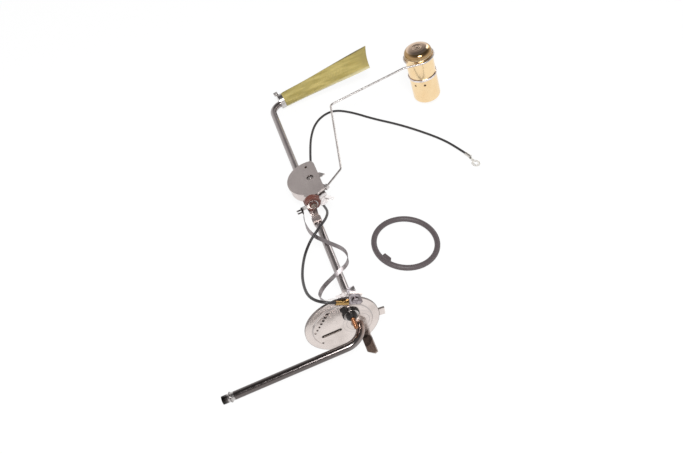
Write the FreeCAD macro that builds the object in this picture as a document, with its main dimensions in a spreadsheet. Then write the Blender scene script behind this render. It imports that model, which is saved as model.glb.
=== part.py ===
import FreeCAD, Part
import math
import os
import re
import Sketcher
from FreeCAD import Placement, Rotation, Vector

# Fuel tank sending unit with a loose seal ring, in millimetres.
# The unit is drawn in its own frame and then laid down on the surface z = 0.
# Own frame: x along the pick-up sleeve, y along the fuel tube into the tank,
# z along the axis that the float arm swings about. Its zero is the middle of
# the mounting flange's outer face.

SIZES = {
    # mounting flange, a pressed steel disc with a raised middle
    "flange_radius": 35.5,
    "flange_sheet": 2,
    "plateau_radius": 27.5,
    "plateau_slope": 1.6,
    "plateau_rise": 1.5,
    "lug_angle": -8,
    "lug_width": 9,
    "lug_reach": 5.5,
    "ground_lug_angle": 56,
    "ground_lug_width": 12,
    "tab_angle": -64,
    "tab_width": 9.5,
    "tab_length": 21.5,
    "tab_chamfer": 6,
    "rib_left": -21.9,
    "rib_length": 19.4,
    "rib_width": 3.4,
    "rib_depth": 1.1,
    "rib_height": -3.9,
    "vent_x": -23.7,
    "vent_z": -12.7,
    "vent_radius": 1.3,
    "mark_radius": 0.9,
    "mark_count": 7,
    "mark_x": -8.3,
    "mark_z": 24.6,
    "mark_step_x": 2.9,
    "mark_step_z": 3.25,
    "mark_rise": 0.35,
    # fuel tube, bent in one plane
    "tube_outside": 7.94,
    "tube_wall": 0.7,
    "tube_x": 14.2,
    "tube_z": -3,
    "outlet_drop": 23,
    "outlet_length": 138.6,
    "outlet_bend": 18,
    "bead_place": 8,
    "bead_radius": 1.1,
    "inner_length": 356,
    "pickup_bend": 15,
    "pickup_tilt": 7.4,
    "pickup_leg": 13,
    "pickup_inside": 18,
    "braze_width": 3.2,
    "braze_height": 2.6,
    # insulated terminal through the flange
    "stud_x": 11,
    "stud_z": 12.4,
    "stud_radius": 2,
    "stud_tip": 0.5,
    "stud_relief": 0.8,
    "stud_outside": 19,
    "stud_inside": 11,
    "stud_hole_radius": 4.2,
    "washer_radius": 7.9,
    "washer_thickness": 1.5,
    "washer_tab_angle": 115,
    "washer_tab_width": 5.6,
    "washer_tab_reach": 12.6,
    "eyelet_radius": 7,
    "eyelet_inner_radius": 5,
    "eyelet_thickness": 0.9,
    "dome_radius": 4.9,
    "dome_height": 3.2,
    "dome_top_radius": 3.1,
    "dome_top_height": 1.8,
    "inner_washer_radius": 7,
    "nut_radius": 4.4,
    "nut_height": 3,
    "tongue_sheet": 0.9,
    "tongue_width": 9,
    "tongue_left": 7,
    "tongue_drop": 6.4,
    "tongue_height": 10,
    "tongue_length": 13,
    # ground terminal riveted to the rim
    "rivet_x": 19.8,
    "rivet_z": 28.4,
    "rivet_radius": 1.6,
    "rivet_head_radius": 3,
    "rivet_head_height": 1,
    "ground_plate_sheet": 0.8,
    "ground_plate_low": 9,
    "ground_plate_high": 10,
    "ground_plate_side": 6,
    "crimp_sheet": 0.6,
    "crimp_eye_radius": 5,
    "crimp_x": 12.6,
    "crimp_z": 28.8,
    "crimp_neck": 1.9,
    "crimp_waist": 0.8,
    "crimp_angle": 146,
    "crimp_length": 12,
    "crimp_radius": 2.05,
    # ground lead
    "lead_diameter": 2.8,
    "lead_clearance": 0.1,
    "lead_entry": 7,
    "ring_terminal_radius": 5.2,
    "ring_terminal_hole": 2.6,
    "ring_terminal_sheet": 0.8,
    "ring_barrel_radius": 2.1,
    "ring_barrel_length": 8,
    # clamp on the tube inside the flange
    "clamp_place": 27,
    "clamp_length": 8.4,
    "clamp_sheet": 0.9,
    "clamp_ear": 5,
    "clamp_screw_radius": 1,
    "clamp_screw_head": 2,
    # sender housing on the tube
    "pivot_x": 24.8,
    "pivot_y": 188.2,
    "case_radius": 25.2,
    "case_foot_reach": 1.8,
    "case_right": 9.2,
    "case_left_foot": 12.6,
    "left_bevel": 2,
    "right_bevel_in": 8.5,
    "right_bevel_up": 5,
    "corner_up": 19.5,
    "corner_in": 1.5,
    "corner_rise": 4.5,
    "case_sheet": 0.7,
    "case_height": 10.9,
    "window_left": -2.4,
    "window_top": 20.9,
    "cover_sheet": 0.7,
    "cover_lip": 1.9,
    "cover_gap": 0.05,
    "cover_hole_radius": 3.4,
    "cover_hole_small": 1.5,
    "cover_hole_up": 18,
    "bracket_sheet": 1,
    "bracket_inset": 4.2,
    "bracket_left": 5.8,
    "tongue_end": 3.9,
    "bracket_tongue": 28.5,
    "bracket_ear": 7.5,
    "band_sheet": 0.9,
    "band_length": 6,
    "fit_gap": 0.03,
    "case_rivet_radius": 1.5,
    "case_rivet_out": 15,
    # rheostat inside the housing
    "card_gap": 2.5,
    "card_sheet": 1,
    "card_height": 9,
    "card_first": 72,
    "card_sweep": 71,
    "winding_height": 7,
    "winding_sheet": 0.4,
    "bush_radius": 4.4,
    "bush_height": 2.2,
    "shaft_radius": 1.8,
    "shaft_gap": 0.05,
    "shaft_sunk": 0.6,
    "hub_radius": 4.2,
    "hub_top": 11.6,
    "lever_sheet": 1,
    "lever_width": 6,
    "lever_drop": 1.2,
    "grip_length": 4.8,
    "grip_wall": 0.7,
    "wiper_width": 4,
    "wiper_sheet": 0.4,
    "wiper_gap": 0.15,
    "wiper_angle": 135,
    # sender's own terminal on the end wall
    "terminal_x": 16.9,
    "terminal_z": 9.4,
    "terminal_radius": 8.2,
    "terminal_length": 6.5,
    "boss_radius": 4.4,
    "boss_length": 1.6,
    "terminal_foot": 3,
    "terminal_groove": 0.8,
    "terminal_clear": 0.1,
    "terminal_rivet_radius": 1.5,
    "terminal_rivet_head": 3,
    "rivet_head_thickness": 1,
    "clip_sheet": 0.6,
    "clip_width": 5,
    "clip_eye": 5.5,
    "clip_reach": 14,
    "clip_prong": 5.5,
    "clip_prong_width": 1.2,
    "side_reach": 0.5,
    "side_drop": 8.5,
    "side_clip_turn": -50,
    "side_clip_length": 11,
    "side_clip_width": 3.6,
    "side_clip_rise": 2.6,
    # float arm, wire bent in one plane
    "wire_radius": 1.2,
    "arm_z": 7,
    "root_x": 34.98,
    "root_y": 169.4,
    "elbow_x": 59.6,
    "elbow_y": 188.7,
    "knee_x": 81.4,
    "knee_y": 301.6,
    "neck_x": 180.8,
    "neck_y": 312.2,
    "arm_bend": 5,
    "loop_sweep": 300,
    # float
    "float_x": 205.5,
    "float_y": 324,
    "float_radius": 17.2,
    "float_wall": 0.35,
    "float_above": 13,
    "float_seam": 26,
    "float_below": 63,
    "float_crown": 7,
    "float_heel": 5,
    "float_gap": 0.15,
    "band_rise": 1.1,
    "band_tall": 3,
    # strainer sleeve
    "collar_length": 5,
    "collar_radius": 9.3,
    "collar_wall": 0.7,
    "sleeve_length": 131,
    "sleeve_rise": 3,
    "sleeve_round": 9.2,
    "sleeve_slant": 4,
    "sleeve_end_width": 27.6,
    "sleeve_end_thickness": 1.6,
    "sleeve_turn": 45,
    "sleeve_wall": 0.5,
    # seal ring with a moulded tab
    "seal_radius": 33.7,
    "seal_section": 3.04,
    "seal_tab_length": 9,
    "seal_tab_reach": 3.6,
    "seal_tab_height": 4.6,
    "seal_tab_angle": 207,
    "seal_from_flange_x": 100.3,
    "seal_from_flange_y": 99.1,
    # how the unit lies, as seen from its flange
    "lie_roll": 14.422,
    "lie_pitch": 5.153,
    "origin_to_flange_x": -53.9,
    "origin_to_flange_y": -178.1,
}

# Contact strap from the sender's terminal to the inner terminal. Each station is a share of the way
# between the strap's two ends, how far its middle lies from the straight line there, and the
# direction of its width.
STRAP_WIDTH = 4.0
STRAP_END_WIDTH = 2.0
STRAP_TAPER_FROM = 0.88
STRAP_THICKNESS = 0.5
STRAP = [
    (0.000, (0.0, 0.0, 0.0), (0.3, 0.0, 1.0)),
    (0.020, (0.2, -0.7, -0.6), (0.3, -0.2, 1.0)),
    (0.048, (-0.7, -1.8, -1.5), (0.1, -0.5, 0.85)),
    (0.096, (-2.4, -3.4, -3.2), (0.1, -0.5, 0.85)),
    (0.151, (-2.2, -5.4, -5.3), (0.45, 0.1, 0.75)),
    (0.205, (0.4, -7.1, -7.1), (0.6, 0.4, 0.6)),
    (0.267, (6.0, -7.8, -8.8), (0.6, 0.45, 0.42)),
    (0.341, (13.5, -8.1, -10.0), (0.58, 0.43, 0.42)),
    (0.409, (20.2, -8.7, -10.4), (0.55, 0.4, 0.5)),
    (0.466, (23.8, -10.1, -10.2), (0.5, 0.1, 0.85)),
    (0.514, (23.7, -12.0, -10.1), (0.2, 0.1, 0.95)),
    (0.551, (21.2, -12.8, -10.6), (-0.1, 0.3, 0.9)),
    (0.589, (15.6, -11.4, -11.6), (-0.29, 0.6, 0.7)),
    (0.640, (7.0, -7.5, -12.9), (-0.29, 0.65, 0.62)),
    (0.699, (-2.3, -4.5, -13.1), (-0.35, 0.65, 0.62)),
    (0.756, (-10.1, -3.1, -12.1), (-0.4, 0.6, 0.6)),
    (0.810, (-14.7, -3.6, -10.1), (-0.3, 0.45, 0.85)),
    (0.860, (-15.2, -4.6, -6.8), (0.1, 0.1, 0.95)),
    (0.913, (-11.9, -4.6, -2.8), (0.2, -0.5, 0.8)),
    (0.964, (-5.4, -2.6, 0.1), (0.25, -0.85, 0.35)),
    (1.000, (0.0, 0.0, 0.0), (0.25, -0.95, 0.0)),
]

# Ground lead from the flange to the ring terminal, on the surface: places seen
# from the foot of the flange, chosen by hand.
LEAD_ROUTE = [
    (0.32, 0.9, 68.29),
    (-12.87, 1.32, 72.97),
    (-22.4, 9.0, 70.0),
    (-26.0, 22.0, 62.0),
    (-25.4, 39.0, 52.0),
    (-22.3, 59.4, 41.0),
    (-16.3, 80.9, 31.0),
    (-9.8, 97.0, 27.0),
    (-1.8, 107.5, 31.0),
    (5.5, 112.6, 36.0),
    (12.7, 118.9, 38.0),
    (21.3, 128.8, 35.5),
    (28.4, 146.3, 25.5),
    (29.4, 166.6, 13.5),
    (27.6, 186.7, 4.0),
    (28.0, 204.0, 1.5),
    (31.0, 221.0, 1.5),
    (35.5, 245.0, 1.5),
    (41.5, 269.0, 1.5),
    (48.0, 290.0, 1.5),
    (58.0, 310.5, 1.5),
    (72.0, 325.0, 1.5),
    (90.0, 331.5, 1.5),
    (110.0, 321.0, 1.5),
    (131.5, 301.5, 1.5),
    (158.0, 282.5, 1.5),
    (182.0, 260.5, 1.5),
    (202.0, 238.5, 1.5),
    (213.5, 217.5, 1.7),
    (219.6, 203.6, 2.2),
]
RING_TERMINAL_CENTRE = (223.0, 191.5)

doc = FreeCAD.newDocument("sending_unit")
sheet = doc.addObject("Spreadsheet::Sheet", "sizes")
for row, (alias, amount) in enumerate(SIZES.items(), start=1):
    sheet.set(f"A{row}", alias)
    sheet.set(f"B{row}", str(amount))
    sheet.setAlias(f"B{row}", alias)
doc.recompute()

pieces = []
ALONG = {
    "x": Rotation(Vector(0, 1, 0), 90),
    "y": Rotation(Vector(1, 0, 0), -90),
    "z": Rotation(),
}


def size(alias):
    """The sheet's value under this name."""
    return float(sheet.get(alias))


def linked(text):
    """An expression in which each size's name points into the sheet."""
    def point(word):
        return "sizes." + word.group() if word.group() in SIZES else word.group()
    return re.sub(r"[a-z][a-z_]*", point, text)


def solid(kind, name, links, at, rotation):
    """One primitive whose sizes and place are bound to the sheet."""
    item = doc.addObject(kind, name)
    item.Placement = Placement(Vector(), rotation)
    for link, text in links.items():
        item.setExpression(link, linked(text))
    for link, text in zip("xyz", at):
        item.setExpression("Placement.Base." + link, linked(text))
    return item


def cylinder(name, radius, length, at, along="z", sweep="360"):
    """A cylinder from the place given, along one axis."""
    links = {"Radius": radius, "Height": length, "Angle": sweep}
    return solid("Part::Cylinder", name, links, at, ALONG[along])


def cone(name, radius, top_radius, length, at, along):
    """A cone from the place given, along one axis."""
    links = {"Radius1": radius, "Radius2": top_radius, "Height": length}
    return solid("Part::Cone", name, links, at, ALONG[along])


def torus(name, radius, section, at, along="z"):
    """A ring of round section about one axis."""
    links = {"Radius1": radius, "Radius2": section}
    return solid("Part::Torus", name, links, at, ALONG[along])


def box(name, wide, deep, tall, at, rotation=Rotation()):
    """A block from its corner."""
    links = {"Length": wide, "Width": deep, "Height": tall}
    return solid("Part::Box", name, links, at, rotation)


def spoke(name, middle, angle, inner, reach, width, low, sheet_thickness):
    """A flat block that points away from a middle in the flange's plane, at an angle from x towards z."""
    turned = Rotation(Vector(0, -1, 0), size(angle))
    x = f"{middle[0]} + ({inner}) * cos({angle}) + ({width}) / 2 * sin({angle})"
    z = f"{middle[1]} + ({inner}) * sin({angle}) - ({width}) / 2 * cos({angle})"
    return box(name, reach, sheet_thickness, width, (x, low, z), turned)


def ray(name, angle, low, inner, reach, width, tall):
    """A flat block that points away from the pivot, at an angle from x towards y."""
    degrees = size(angle) if angle in SIZES else float(angle)
    turned = Rotation(Vector(0, 0, 1), degrees)
    x = f"pivot_x + ({inner}) * cos({angle}) + ({width}) / 2 * sin({angle})"
    y = f"pivot_y + ({inner}) * sin({angle}) - ({width}) / 2 * cos({angle})"
    return box(name, reach, width, tall, (x, y, low), turned)


def fuse(name, *items):
    """Several solids joined."""
    item = doc.addObject("Part::MultiFuse", name)
    item.Shapes = list(items)
    return item


def common(name, *items):
    """What several solids share."""
    item = doc.addObject("Part::MultiCommon", name)
    item.Shapes = list(items)
    return item


def cut(name, base, *tools):
    """A solid with others taken away."""
    item = doc.addObject("Part::Cut", name)
    item.Base = base
    item.Tool = tools[0] if len(tools) == 1 else fuse(name + "_tools", *tools)
    return item


def group(name, *items):
    """Separate solids of one kind."""
    item = doc.addObject("Part::Compound", name)
    item.Links = list(items)
    return item


def rounded(name, base, radius, *heights):
    """A round solid with its edges at some heights rounded."""
    doc.recompute()
    item = doc.addObject("Part::Fillet", name)
    item.Base = base
    edges = []
    for number, edge in enumerate(base.Shape.Edges, start=1):
        ring = edge.Curve.TypeId == "Part::GeomCircle"
        if ring and any(abs(edge.BoundBox.Center.z - height) < 0.01 for height in heights):
            edges.append((number, size(radius), size(radius)))
    item.Edges = edges
    return item


def outline(name, corners, rotation):
    """A closed sketch through corners, each bound to the sheet."""
    sketch = doc.addObject("Sketcher::SketchObject", name)
    sketch.Placement = Placement(Vector(), rotation)
    count = len(corners)
    start = []
    for number in range(count):
        turn = 2 * math.pi * number / count
        start.append(Vector(math.cos(turn), math.sin(turn), 0))
    for number in range(count):
        sketch.addGeometry(Part.LineSegment(start[number], start[(number + 1) % count]))
    for number in range(count):
        after = (number + 1) % count
        sketch.addConstraint(Sketcher.Constraint("Coincident", number, 2, after, 1))
    for number, corner in enumerate(corners):
        for kind, text, first in zip(("DistanceX", "DistanceY"), corner, start[number]):
            constraint = Sketcher.Constraint(kind, -1, 1, number, 1, first)
            place = sketch.addConstraint(constraint)
            sketch.setExpression(f"Constraints[{place}]", linked(text))
    return sketch


def extruded(name, sketch, direction, length, offset="0"):
    """A sketch pushed out along a direction."""
    item = doc.addObject("Part::Extrusion", name)
    item.Base = sketch
    item.DirMode = "Custom"
    item.Dir = direction
    item.Solid = True
    item.setExpression("LengthFwd", linked(f"({length}) + ({offset})"))
    item.setExpression("LengthRev", linked(f"-({offset})"))
    return item


def shaped(name, shape):
    """A solid that is swept or lofted from the sheet's sizes."""
    item = doc.addObject("Part::Feature", name)
    item.Shape = shape
    return item


def piece(label, item, placement):
    """Keeps a finished sub-part, lays it down and names it."""
    item.Label = label
    item.Placement = placement
    pieces.append(item)


def direction(vector):
    """A vector's direction."""
    return Vector(vector).normalize()


def rounded_path(points, radii):
    """Straight runs joined by tangent arcs, one radius for each inner point."""
    edges = []
    start = points[0]
    for before, corner, after, radius in zip(points, points[1:], points[2:], radii):
        inward = direction(corner - before)
        outward = direction(after - corner)
        half_turn = inward.getAngle(outward) / 2
        side = direction(outward - inward)
        arc_start = corner - inward * radius * math.tan(half_turn)
        arc_end = corner + outward * radius * math.tan(half_turn)
        arc_middle = corner + side * radius * (1 / math.cos(half_turn) - 1)
        edges.append(Part.LineSegment(start, arc_start).toShape())
        edges.append(Part.Arc(arc_start, arc_middle, arc_end).toShape())
        start = arc_end
    edges.append(Part.LineSegment(start, points[-1]).toShape())
    return edges


def swept(edges, radius):
    """A round bar along a path, with its volume compared with section times length."""
    path = Part.Wire(edges)
    start = edges[0].valueAt(edges[0].FirstParameter)
    heading = edges[0].tangentAt(edges[0].FirstParameter)
    circle = Part.Wire([Part.Circle(start, heading, radius).toShape()])
    bar = path.makePipeShell([circle], True, False)
    expected = math.pi * radius ** 2 * path.Length
    if abs(bar.Volume - expected) > 0.01 * expected:
        raise ValueError(f"swept bar holds {bar.Volume:.0f} mm3 in place of {expected:.0f}")
    return bar


def free_radii(points):
    """Arc radii as large as the runs of a loose cord allow."""
    radii = []
    for before, corner, after in zip(points, points[1:], points[2:]):
        half_turn = (corner - before).getAngle(after - corner) / 2
        shorter = min((corner - before).Length, (after - corner).Length)
        radii.append(0.45 * shorter / math.tan(half_turn))
    return radii


# Heights that several pieces share
TUBE_RADIUS = "tube_outside / 2"
TUBE_TOP = "(tube_z + tube_outside / 2 + fit_gap)"
CASE_LOW = f"({TUBE_TOP} + bracket_sheet)"
COVER_LOW = f"({CASE_LOW} + case_height)"
FACE = "(0 - plateau_rise)"
BACK = "(flange_sheet - plateau_rise)"
STUD = ("stud_x", "stud_z")
END_WALL = "(pivot_y - case_radius - case_foot_reach)"
CARD = "(case_radius - case_sheet - card_gap - card_sheet)"
TERMINAL_FACE = f"({END_WALL} - terminal_foot - terminal_length)"
BRACKET_RADIUS = "(case_radius - bracket_inset)"


def at_stud(y):
    """A place on the stud's axis."""
    return ("stud_x", y, "stud_z")


def at_pivot(z):
    """A place on the pivot's axis."""
    return ("pivot_x", "pivot_y", z)


def make_flange():
    """The disc with its raised middle, lugs, bent tab, stamped rib and holes."""
    body = doc.addObject("PartDesign::Body", "flange_disc")
    half_section = body.newObject("Sketcher::SketchObject", "flange_section")
    planes = [item for item in body.Origin.OriginFeatures if item.Role == "XY_Plane"]
    half_section.AttachmentSupport = (planes[0], [""])
    half_section.MapMode = "FlatFace"
    corners = [
        ("0", "0 - plateau_rise"),
        ("plateau_radius", "0 - plateau_rise"),
        ("plateau_radius + plateau_slope", "0"),
        ("flange_radius", "0"),
        ("flange_radius", "flange_sheet"),
        ("plateau_radius + plateau_slope / 2", "flange_sheet"),
        ("plateau_radius - plateau_slope / 2", "flange_sheet - plateau_rise"),
        ("0", "flange_sheet - plateau_rise"),
    ]
    count = len(corners)
    start = []
    for number in range(count):
        turn = 2 * math.pi * number / count
        start.append(Vector(10 + 5 * math.cos(turn), 5 * math.sin(turn), 0))
    for number in range(count):
        half_section.addGeometry(Part.LineSegment(start[number], start[(number + 1) % count]))
    for number in range(count):
        after = (number + 1) % count
        half_section.addConstraint(Sketcher.Constraint("Coincident", number, 2, after, 1))
    for number, corner in enumerate(corners):
        for kind, text, first in zip(("DistanceX", "DistanceY"), corner, start[number]):
            place = half_section.addConstraint(Sketcher.Constraint(kind, -1, 1, number, 1, first))
            half_section.setExpression(f"Constraints[{place}]", linked(text))
    turned = body.newObject("PartDesign::Revolution", "flange_turned")
    turned.Profile = half_section
    turned.ReferenceAxis = (half_section, ["V_Axis"])
    turned.Angle = 360
    middle = ("0", "0")
    lug = spoke("flange_lug", middle, "lug_angle", "plateau_radius + plateau_slope",
                "flange_radius - plateau_radius - plateau_slope + lug_reach", "lug_width",
                "0", "flange_sheet")
    ground_lug = spoke("flange_ground_lug", middle, "ground_lug_angle", "plateau_radius + plateau_slope",
                       "flange_radius - plateau_radius - plateau_slope + lug_reach", "ground_lug_width",
                       "0", "flange_sheet")
    tab_root = spoke("flange_tab_root", middle, "tab_angle", "plateau_radius + plateau_slope",
                     "flange_radius - plateau_radius - plateau_slope + flange_sheet / 2", "tab_width",
                     "0", "flange_sheet")
    across = "tab_width / 2"
    tab_sketch = outline("flange_tab_outline", [
        (f"0 - {across}", "flange_sheet"),
        (across, "flange_sheet"),
        (across, "tab_chamfer - tab_length"),
        (f"{across} - tab_chamfer", "0 - tab_length"),
        (f"0 - {across}", "0 - tab_length"),
    ], Rotation())
    tab_blank = extruded("flange_tab_blank", tab_sketch, Vector(0, 0, 1), "flange_sheet",
                         "flange_radius - flange_sheet / 2")
    turn = Rotation(Vector(0, -1, 0), size("tab_angle")) * Rotation(Vector(0, 1, 0), 90)
    tab_blank.Placement = Placement(Vector(), turn)
    whole = fuse("flange_whole", body, lug, ground_lug, tab_root, tab_blank)
    rib_axis = "(0 - plateau_rise - rib_width / 2 + rib_depth)"
    rib_mid = cylinder("flange_rib_middle", "rib_width / 2", "rib_length - rib_width",
                       ("rib_left + rib_width / 2", rib_axis, "rib_height"), "x")
    rib_ends = []
    for end, x in (("left", "rib_left + rib_width / 2"), ("right", "rib_left + rib_length - rib_width / 2")):
        links = {"Radius": "rib_width / 2"}
        place = (x, rib_axis, "rib_height")
        rib_ends.append(solid("Part::Sphere", f"flange_rib_{end}", links, place, Rotation()))
    deep = "4 * flange_sheet"
    low = "0 - 2 * flange_sheet"
    vent = cylinder("flange_vent", "vent_radius", deep, ("vent_x", low, "vent_z"), "y")
    tube_hole = cylinder("flange_tube_hole", f"{TUBE_RADIUS} + fit_gap", deep, ("tube_x", low, "tube_z"), "y")
    stud_hole = cylinder("flange_stud_hole", "stud_hole_radius", deep, at_stud(low), "y")
    rivet_place = ("rivet_x", low, "rivet_z")
    rivet_hole = cylinder("flange_rivet_hole", "rivet_radius + fit_gap", deep, rivet_place, "y")
    bored = cut("flange_bored", whole, rib_mid, *rib_ends, vent, tube_hole, stud_hole, rivet_hole)
    marks = []
    for number in range(int(size("mark_count"))):
        x = f"mark_x - {number} * mark_step_x"
        z = f"mark_z - {number} * mark_step_z"
        place = (x, "0 - plateau_rise - mark_rise", z)
        marks.append(cylinder(f"flange_mark_{number}", "mark_radius", "2 * mark_rise", place, "y"))
    return fuse("flange", bored, *marks)


def tube_corners():
    """The fuel tube's end, its two corners and the middle of its pick-up end."""
    x, z = size("tube_x"), size("tube_z")
    tilt = math.radians(size("pickup_tilt"))
    pickup = Vector(math.cos(tilt), math.sin(tilt), 0)
    outlet = Vector(x - size("outlet_length"), -size("outlet_drop"), z)
    low_corner = Vector(x, -size("outlet_drop"), z)
    high_corner = Vector(x, size("inner_length"), z)
    end = high_corner + pickup * (size("pickup_leg") + size("pickup_inside"))
    return [outlet, low_corner, high_corner, end], pickup


def make_tube():
    """One steel tube from the hose end to the strainer, with a hose bead."""
    points, pickup = tube_corners()
    edges = rounded_path(points, [size("outlet_bend"), size("pickup_bend")])
    outside = swept(edges, size("tube_outside") / 2)
    bead_centre = points[0] + Vector(size("bead_place"), 0, 0)
    bead = Part.makeTorus(size("tube_outside") / 2, size("bead_radius"), bead_centre, Vector(1, 0, 0))
    bore = swept(edges, size("tube_outside") / 2 - size("tube_wall"))
    return shaped("tube", outside.fuse(bead).cut(bore))


def make_braze_ring():
    """A low cone around the tube, widest at the flange."""
    blank = cone("braze_blank", f"{TUBE_RADIUS} + 0.4 * braze_width", f"{TUBE_RADIUS} + braze_width",
                 "braze_height", ("tube_x", f"{FACE} - braze_height", "tube_z"), "y")
    bore = cylinder("braze_bore", f"{TUBE_RADIUS} + fit_gap", "3 * braze_height",
                    ("tube_x", f"{FACE} - 2 * braze_height", "tube_z"), "y")
    return cut("braze", blank, bore)


def stud_bore(name):
    """The hole for the stud through its insulators and fittings."""
    return cylinder(name, "stud_radius + fit_gap", "stud_outside + stud_inside",
                    at_stud("0 - stud_outside"), "y")


def make_outer_washer():
    """The black washer under the terminal, with its flat tab."""
    low = f"{FACE} - washer_thickness"
    disc = cylinder("outer_washer_disc", "washer_radius", "washer_thickness", at_stud(low), "y")
    tab = spoke("outer_washer_tab", STUD, "washer_tab_angle", "0", "washer_tab_reach", "washer_tab_width",
                low, "washer_thickness")
    return cut("outer_washer", fuse("outer_washer_whole", disc, tab), stud_bore("outer_washer_bore"))


def make_eyelet():
    """The bright ring that is rolled over the washer."""
    low = f"{FACE} - washer_thickness - eyelet_thickness"
    ring = cylinder("eyelet_blank", "eyelet_radius", "eyelet_thickness", at_stud(low), "y")
    hole = cylinder("eyelet_hole", "eyelet_inner_radius", "3 * eyelet_thickness",
                    at_stud(f"{low} - eyelet_thickness"), "y")
    return cut("eyelet", ring, hole)


def make_dome():
    """The black insulator that the stud stands in."""
    low = f"{FACE} - washer_thickness"
    barrel = cylinder("dome_barrel", "dome_radius", "dome_height", at_stud(f"{low} - dome_height"), "y")
    top = cone("dome_top", "dome_top_radius", "dome_radius", "dome_top_height",
               at_stud(f"{low} - dome_height - dome_top_height"), "y")
    return cut("dome", fuse("dome_whole", barrel, top), stud_bore("dome_bore"))


def make_inner_washer():
    """The black washer inside, with the spigot that centres the stud in the flange."""
    disc = cylinder("inner_washer_disc", "inner_washer_radius", "washer_thickness", at_stud(BACK), "y")
    spigot = cylinder("inner_washer_spigot", "stud_hole_radius - fit_gap", "flange_sheet", at_stud(FACE), "y")
    return cut("inner_washer", fuse("inner_washer_whole", disc, spigot), stud_bore("inner_washer_bore"))


def make_tongue():
    """The bent plate inside the flange that joins the stud to the contact strap."""
    low = f"({BACK} + washer_thickness)"
    top = "(stud_z + tongue_height + tongue_sheet)"
    tall = "tongue_drop + tongue_height + tongue_sheet"
    upright = box("tongue_upright", "tongue_width", "tongue_sheet", tall,
                  ("stud_x - tongue_width / 2", low, "stud_z - tongue_drop"))
    flat = box("tongue_flat", "tongue_width + tongue_left / 4", "tongue_length", "tongue_sheet",
               ("stud_x - tongue_left", low, f"{top} - tongue_sheet"))
    return cut("tongue", fuse("tongue_whole", upright, flat), stud_bore("tongue_bore"))


def make_stud():
    """The stud through the flange, with a relief groove where its free thread ends."""
    dome_top = f"({FACE} - washer_thickness - dome_height - dome_top_height)"
    groove = f"({dome_top} - stud_relief)"
    free = cylinder("stud_free", "stud_radius", f"stud_outside - stud_tip + {groove}",
                    at_stud("stud_tip - stud_outside"), "y")
    tip = cone("stud_tip_cone", "stud_radius - stud_tip", "stud_radius", "stud_tip",
               at_stud("0 - stud_outside"), "y")
    neck = cylinder("stud_neck", "stud_radius - stud_relief / 4", "stud_relief", at_stud(groove), "y")
    held = cylinder("stud_held", "stud_radius", f"stud_inside - {dome_top}", at_stud(dome_top), "y")
    return fuse("stud", free, tip, neck, held)


def make_stud_nut():
    """The hexagon nut that clamps the stud inside the flange."""
    low = f"{BACK} + washer_thickness + tongue_sheet"
    links = {"Circumradius": "nut_radius", "Height": "nut_height"}
    blank = solid("Part::Prism", "nut_blank", links, at_stud(low), ALONG["y"])
    blank.Polygon = 6
    return cut("nut", blank, stud_bore("nut_bore"))


def make_ground_plate():
    """The bright five-sided plate over the ground terminal."""
    low, high, side = "ground_plate_low", "ground_plate_high", "ground_plate_side"
    sketch = outline("ground_plate_outline", [
        (f"rivet_x - 1.05 * {side}", f"rivet_z - 0.33 * {low}"),
        (f"rivet_x + 0.45 * {side}", f"rivet_z - {low}"),
        (f"rivet_x + 0.9 * {side}", f"rivet_z - 0.8 * {low}"),
        (f"rivet_x + 0.9 * {side}", f"rivet_z + 0.5 * {high}"),
        (f"rivet_x - 0.6 * {side}", f"rivet_z + {high}"),
    ], Rotation(Vector(1, 0, 0), 90))
    plate = extruded("ground_plate_blank", sketch, Vector(0, -1, 0), "ground_plate_sheet", "crimp_sheet")
    hole = cylinder("ground_plate_hole", "rivet_radius + fit_gap", "4 * ground_plate_sheet",
                    ("rivet_x", "0 - 3 * ground_plate_sheet", "rivet_z"), "y")
    return cut("ground_plate", plate, hole)


def crimp_frame():
    """The place and the direction of the crimp barrel on the flange."""
    angle = math.radians(size("crimp_angle"))
    heading = Vector(math.cos(angle), 0, math.sin(angle))
    start = Vector(size("crimp_x"), -size("crimp_radius"), size("crimp_z"))
    return start, heading


def make_crimp():
    """The brass terminal on the ground lead: an eye under the rivet and a barrel."""
    start, heading = crimp_frame()
    barrel = Part.makeCylinder(size("crimp_radius"), size("crimp_length"), start, heading)
    bore_radius = size("lead_diameter") / 2 + size("lead_clearance")
    bore_start = start + heading * (size("crimp_length") - size("lead_entry"))
    bore = Part.makeCylinder(bore_radius, size("crimp_length"), bore_start, heading)
    waist_centre = start + heading * (size("crimp_length") - size("lead_entry") + size("crimp_waist"))
    waist_radius = size("crimp_radius") + size("crimp_waist") / 2
    waist = Part.makeTorus(waist_radius, size("crimp_waist"), waist_centre, heading)
    sheet_low = -size("crimp_sheet")
    eye_centre = Vector(size("rivet_x"), sheet_low, size("rivet_z"))
    eye = Part.makeCylinder(size("crimp_eye_radius"), size("crimp_sheet"), eye_centre, Vector(0, 1, 0))
    neck_start = Vector(start.x, sheet_low, start.z)
    along = direction(eye_centre - neck_start)
    across = Vector(along.z, 0, -along.x) * size("crimp_neck")
    neck_near = neck_start - along * size("crimp_neck")
    corners = [neck_near - across, eye_centre - across, eye_centre + across, neck_near + across]
    neck_face = Part.Face(Part.makePolygon(corners + [corners[0]]))
    neck = neck_face.extrude(Vector(0, size("crimp_sheet"), 0))
    hole_start = eye_centre - Vector(0, 1, 0)
    hole = Part.makeCylinder(size("rivet_radius") + size("fit_gap"), size("crimp_sheet") + 2, hole_start,
                             Vector(0, 1, 0))
    below = Part.makeBox(200, 50, 200, Vector(-100, 0, -100))
    whole = barrel.cut(waist).fuse([eye, neck]).cut(bore).cut(hole).cut(below)
    return shaped("crimp", whole.removeSplitter())


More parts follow.
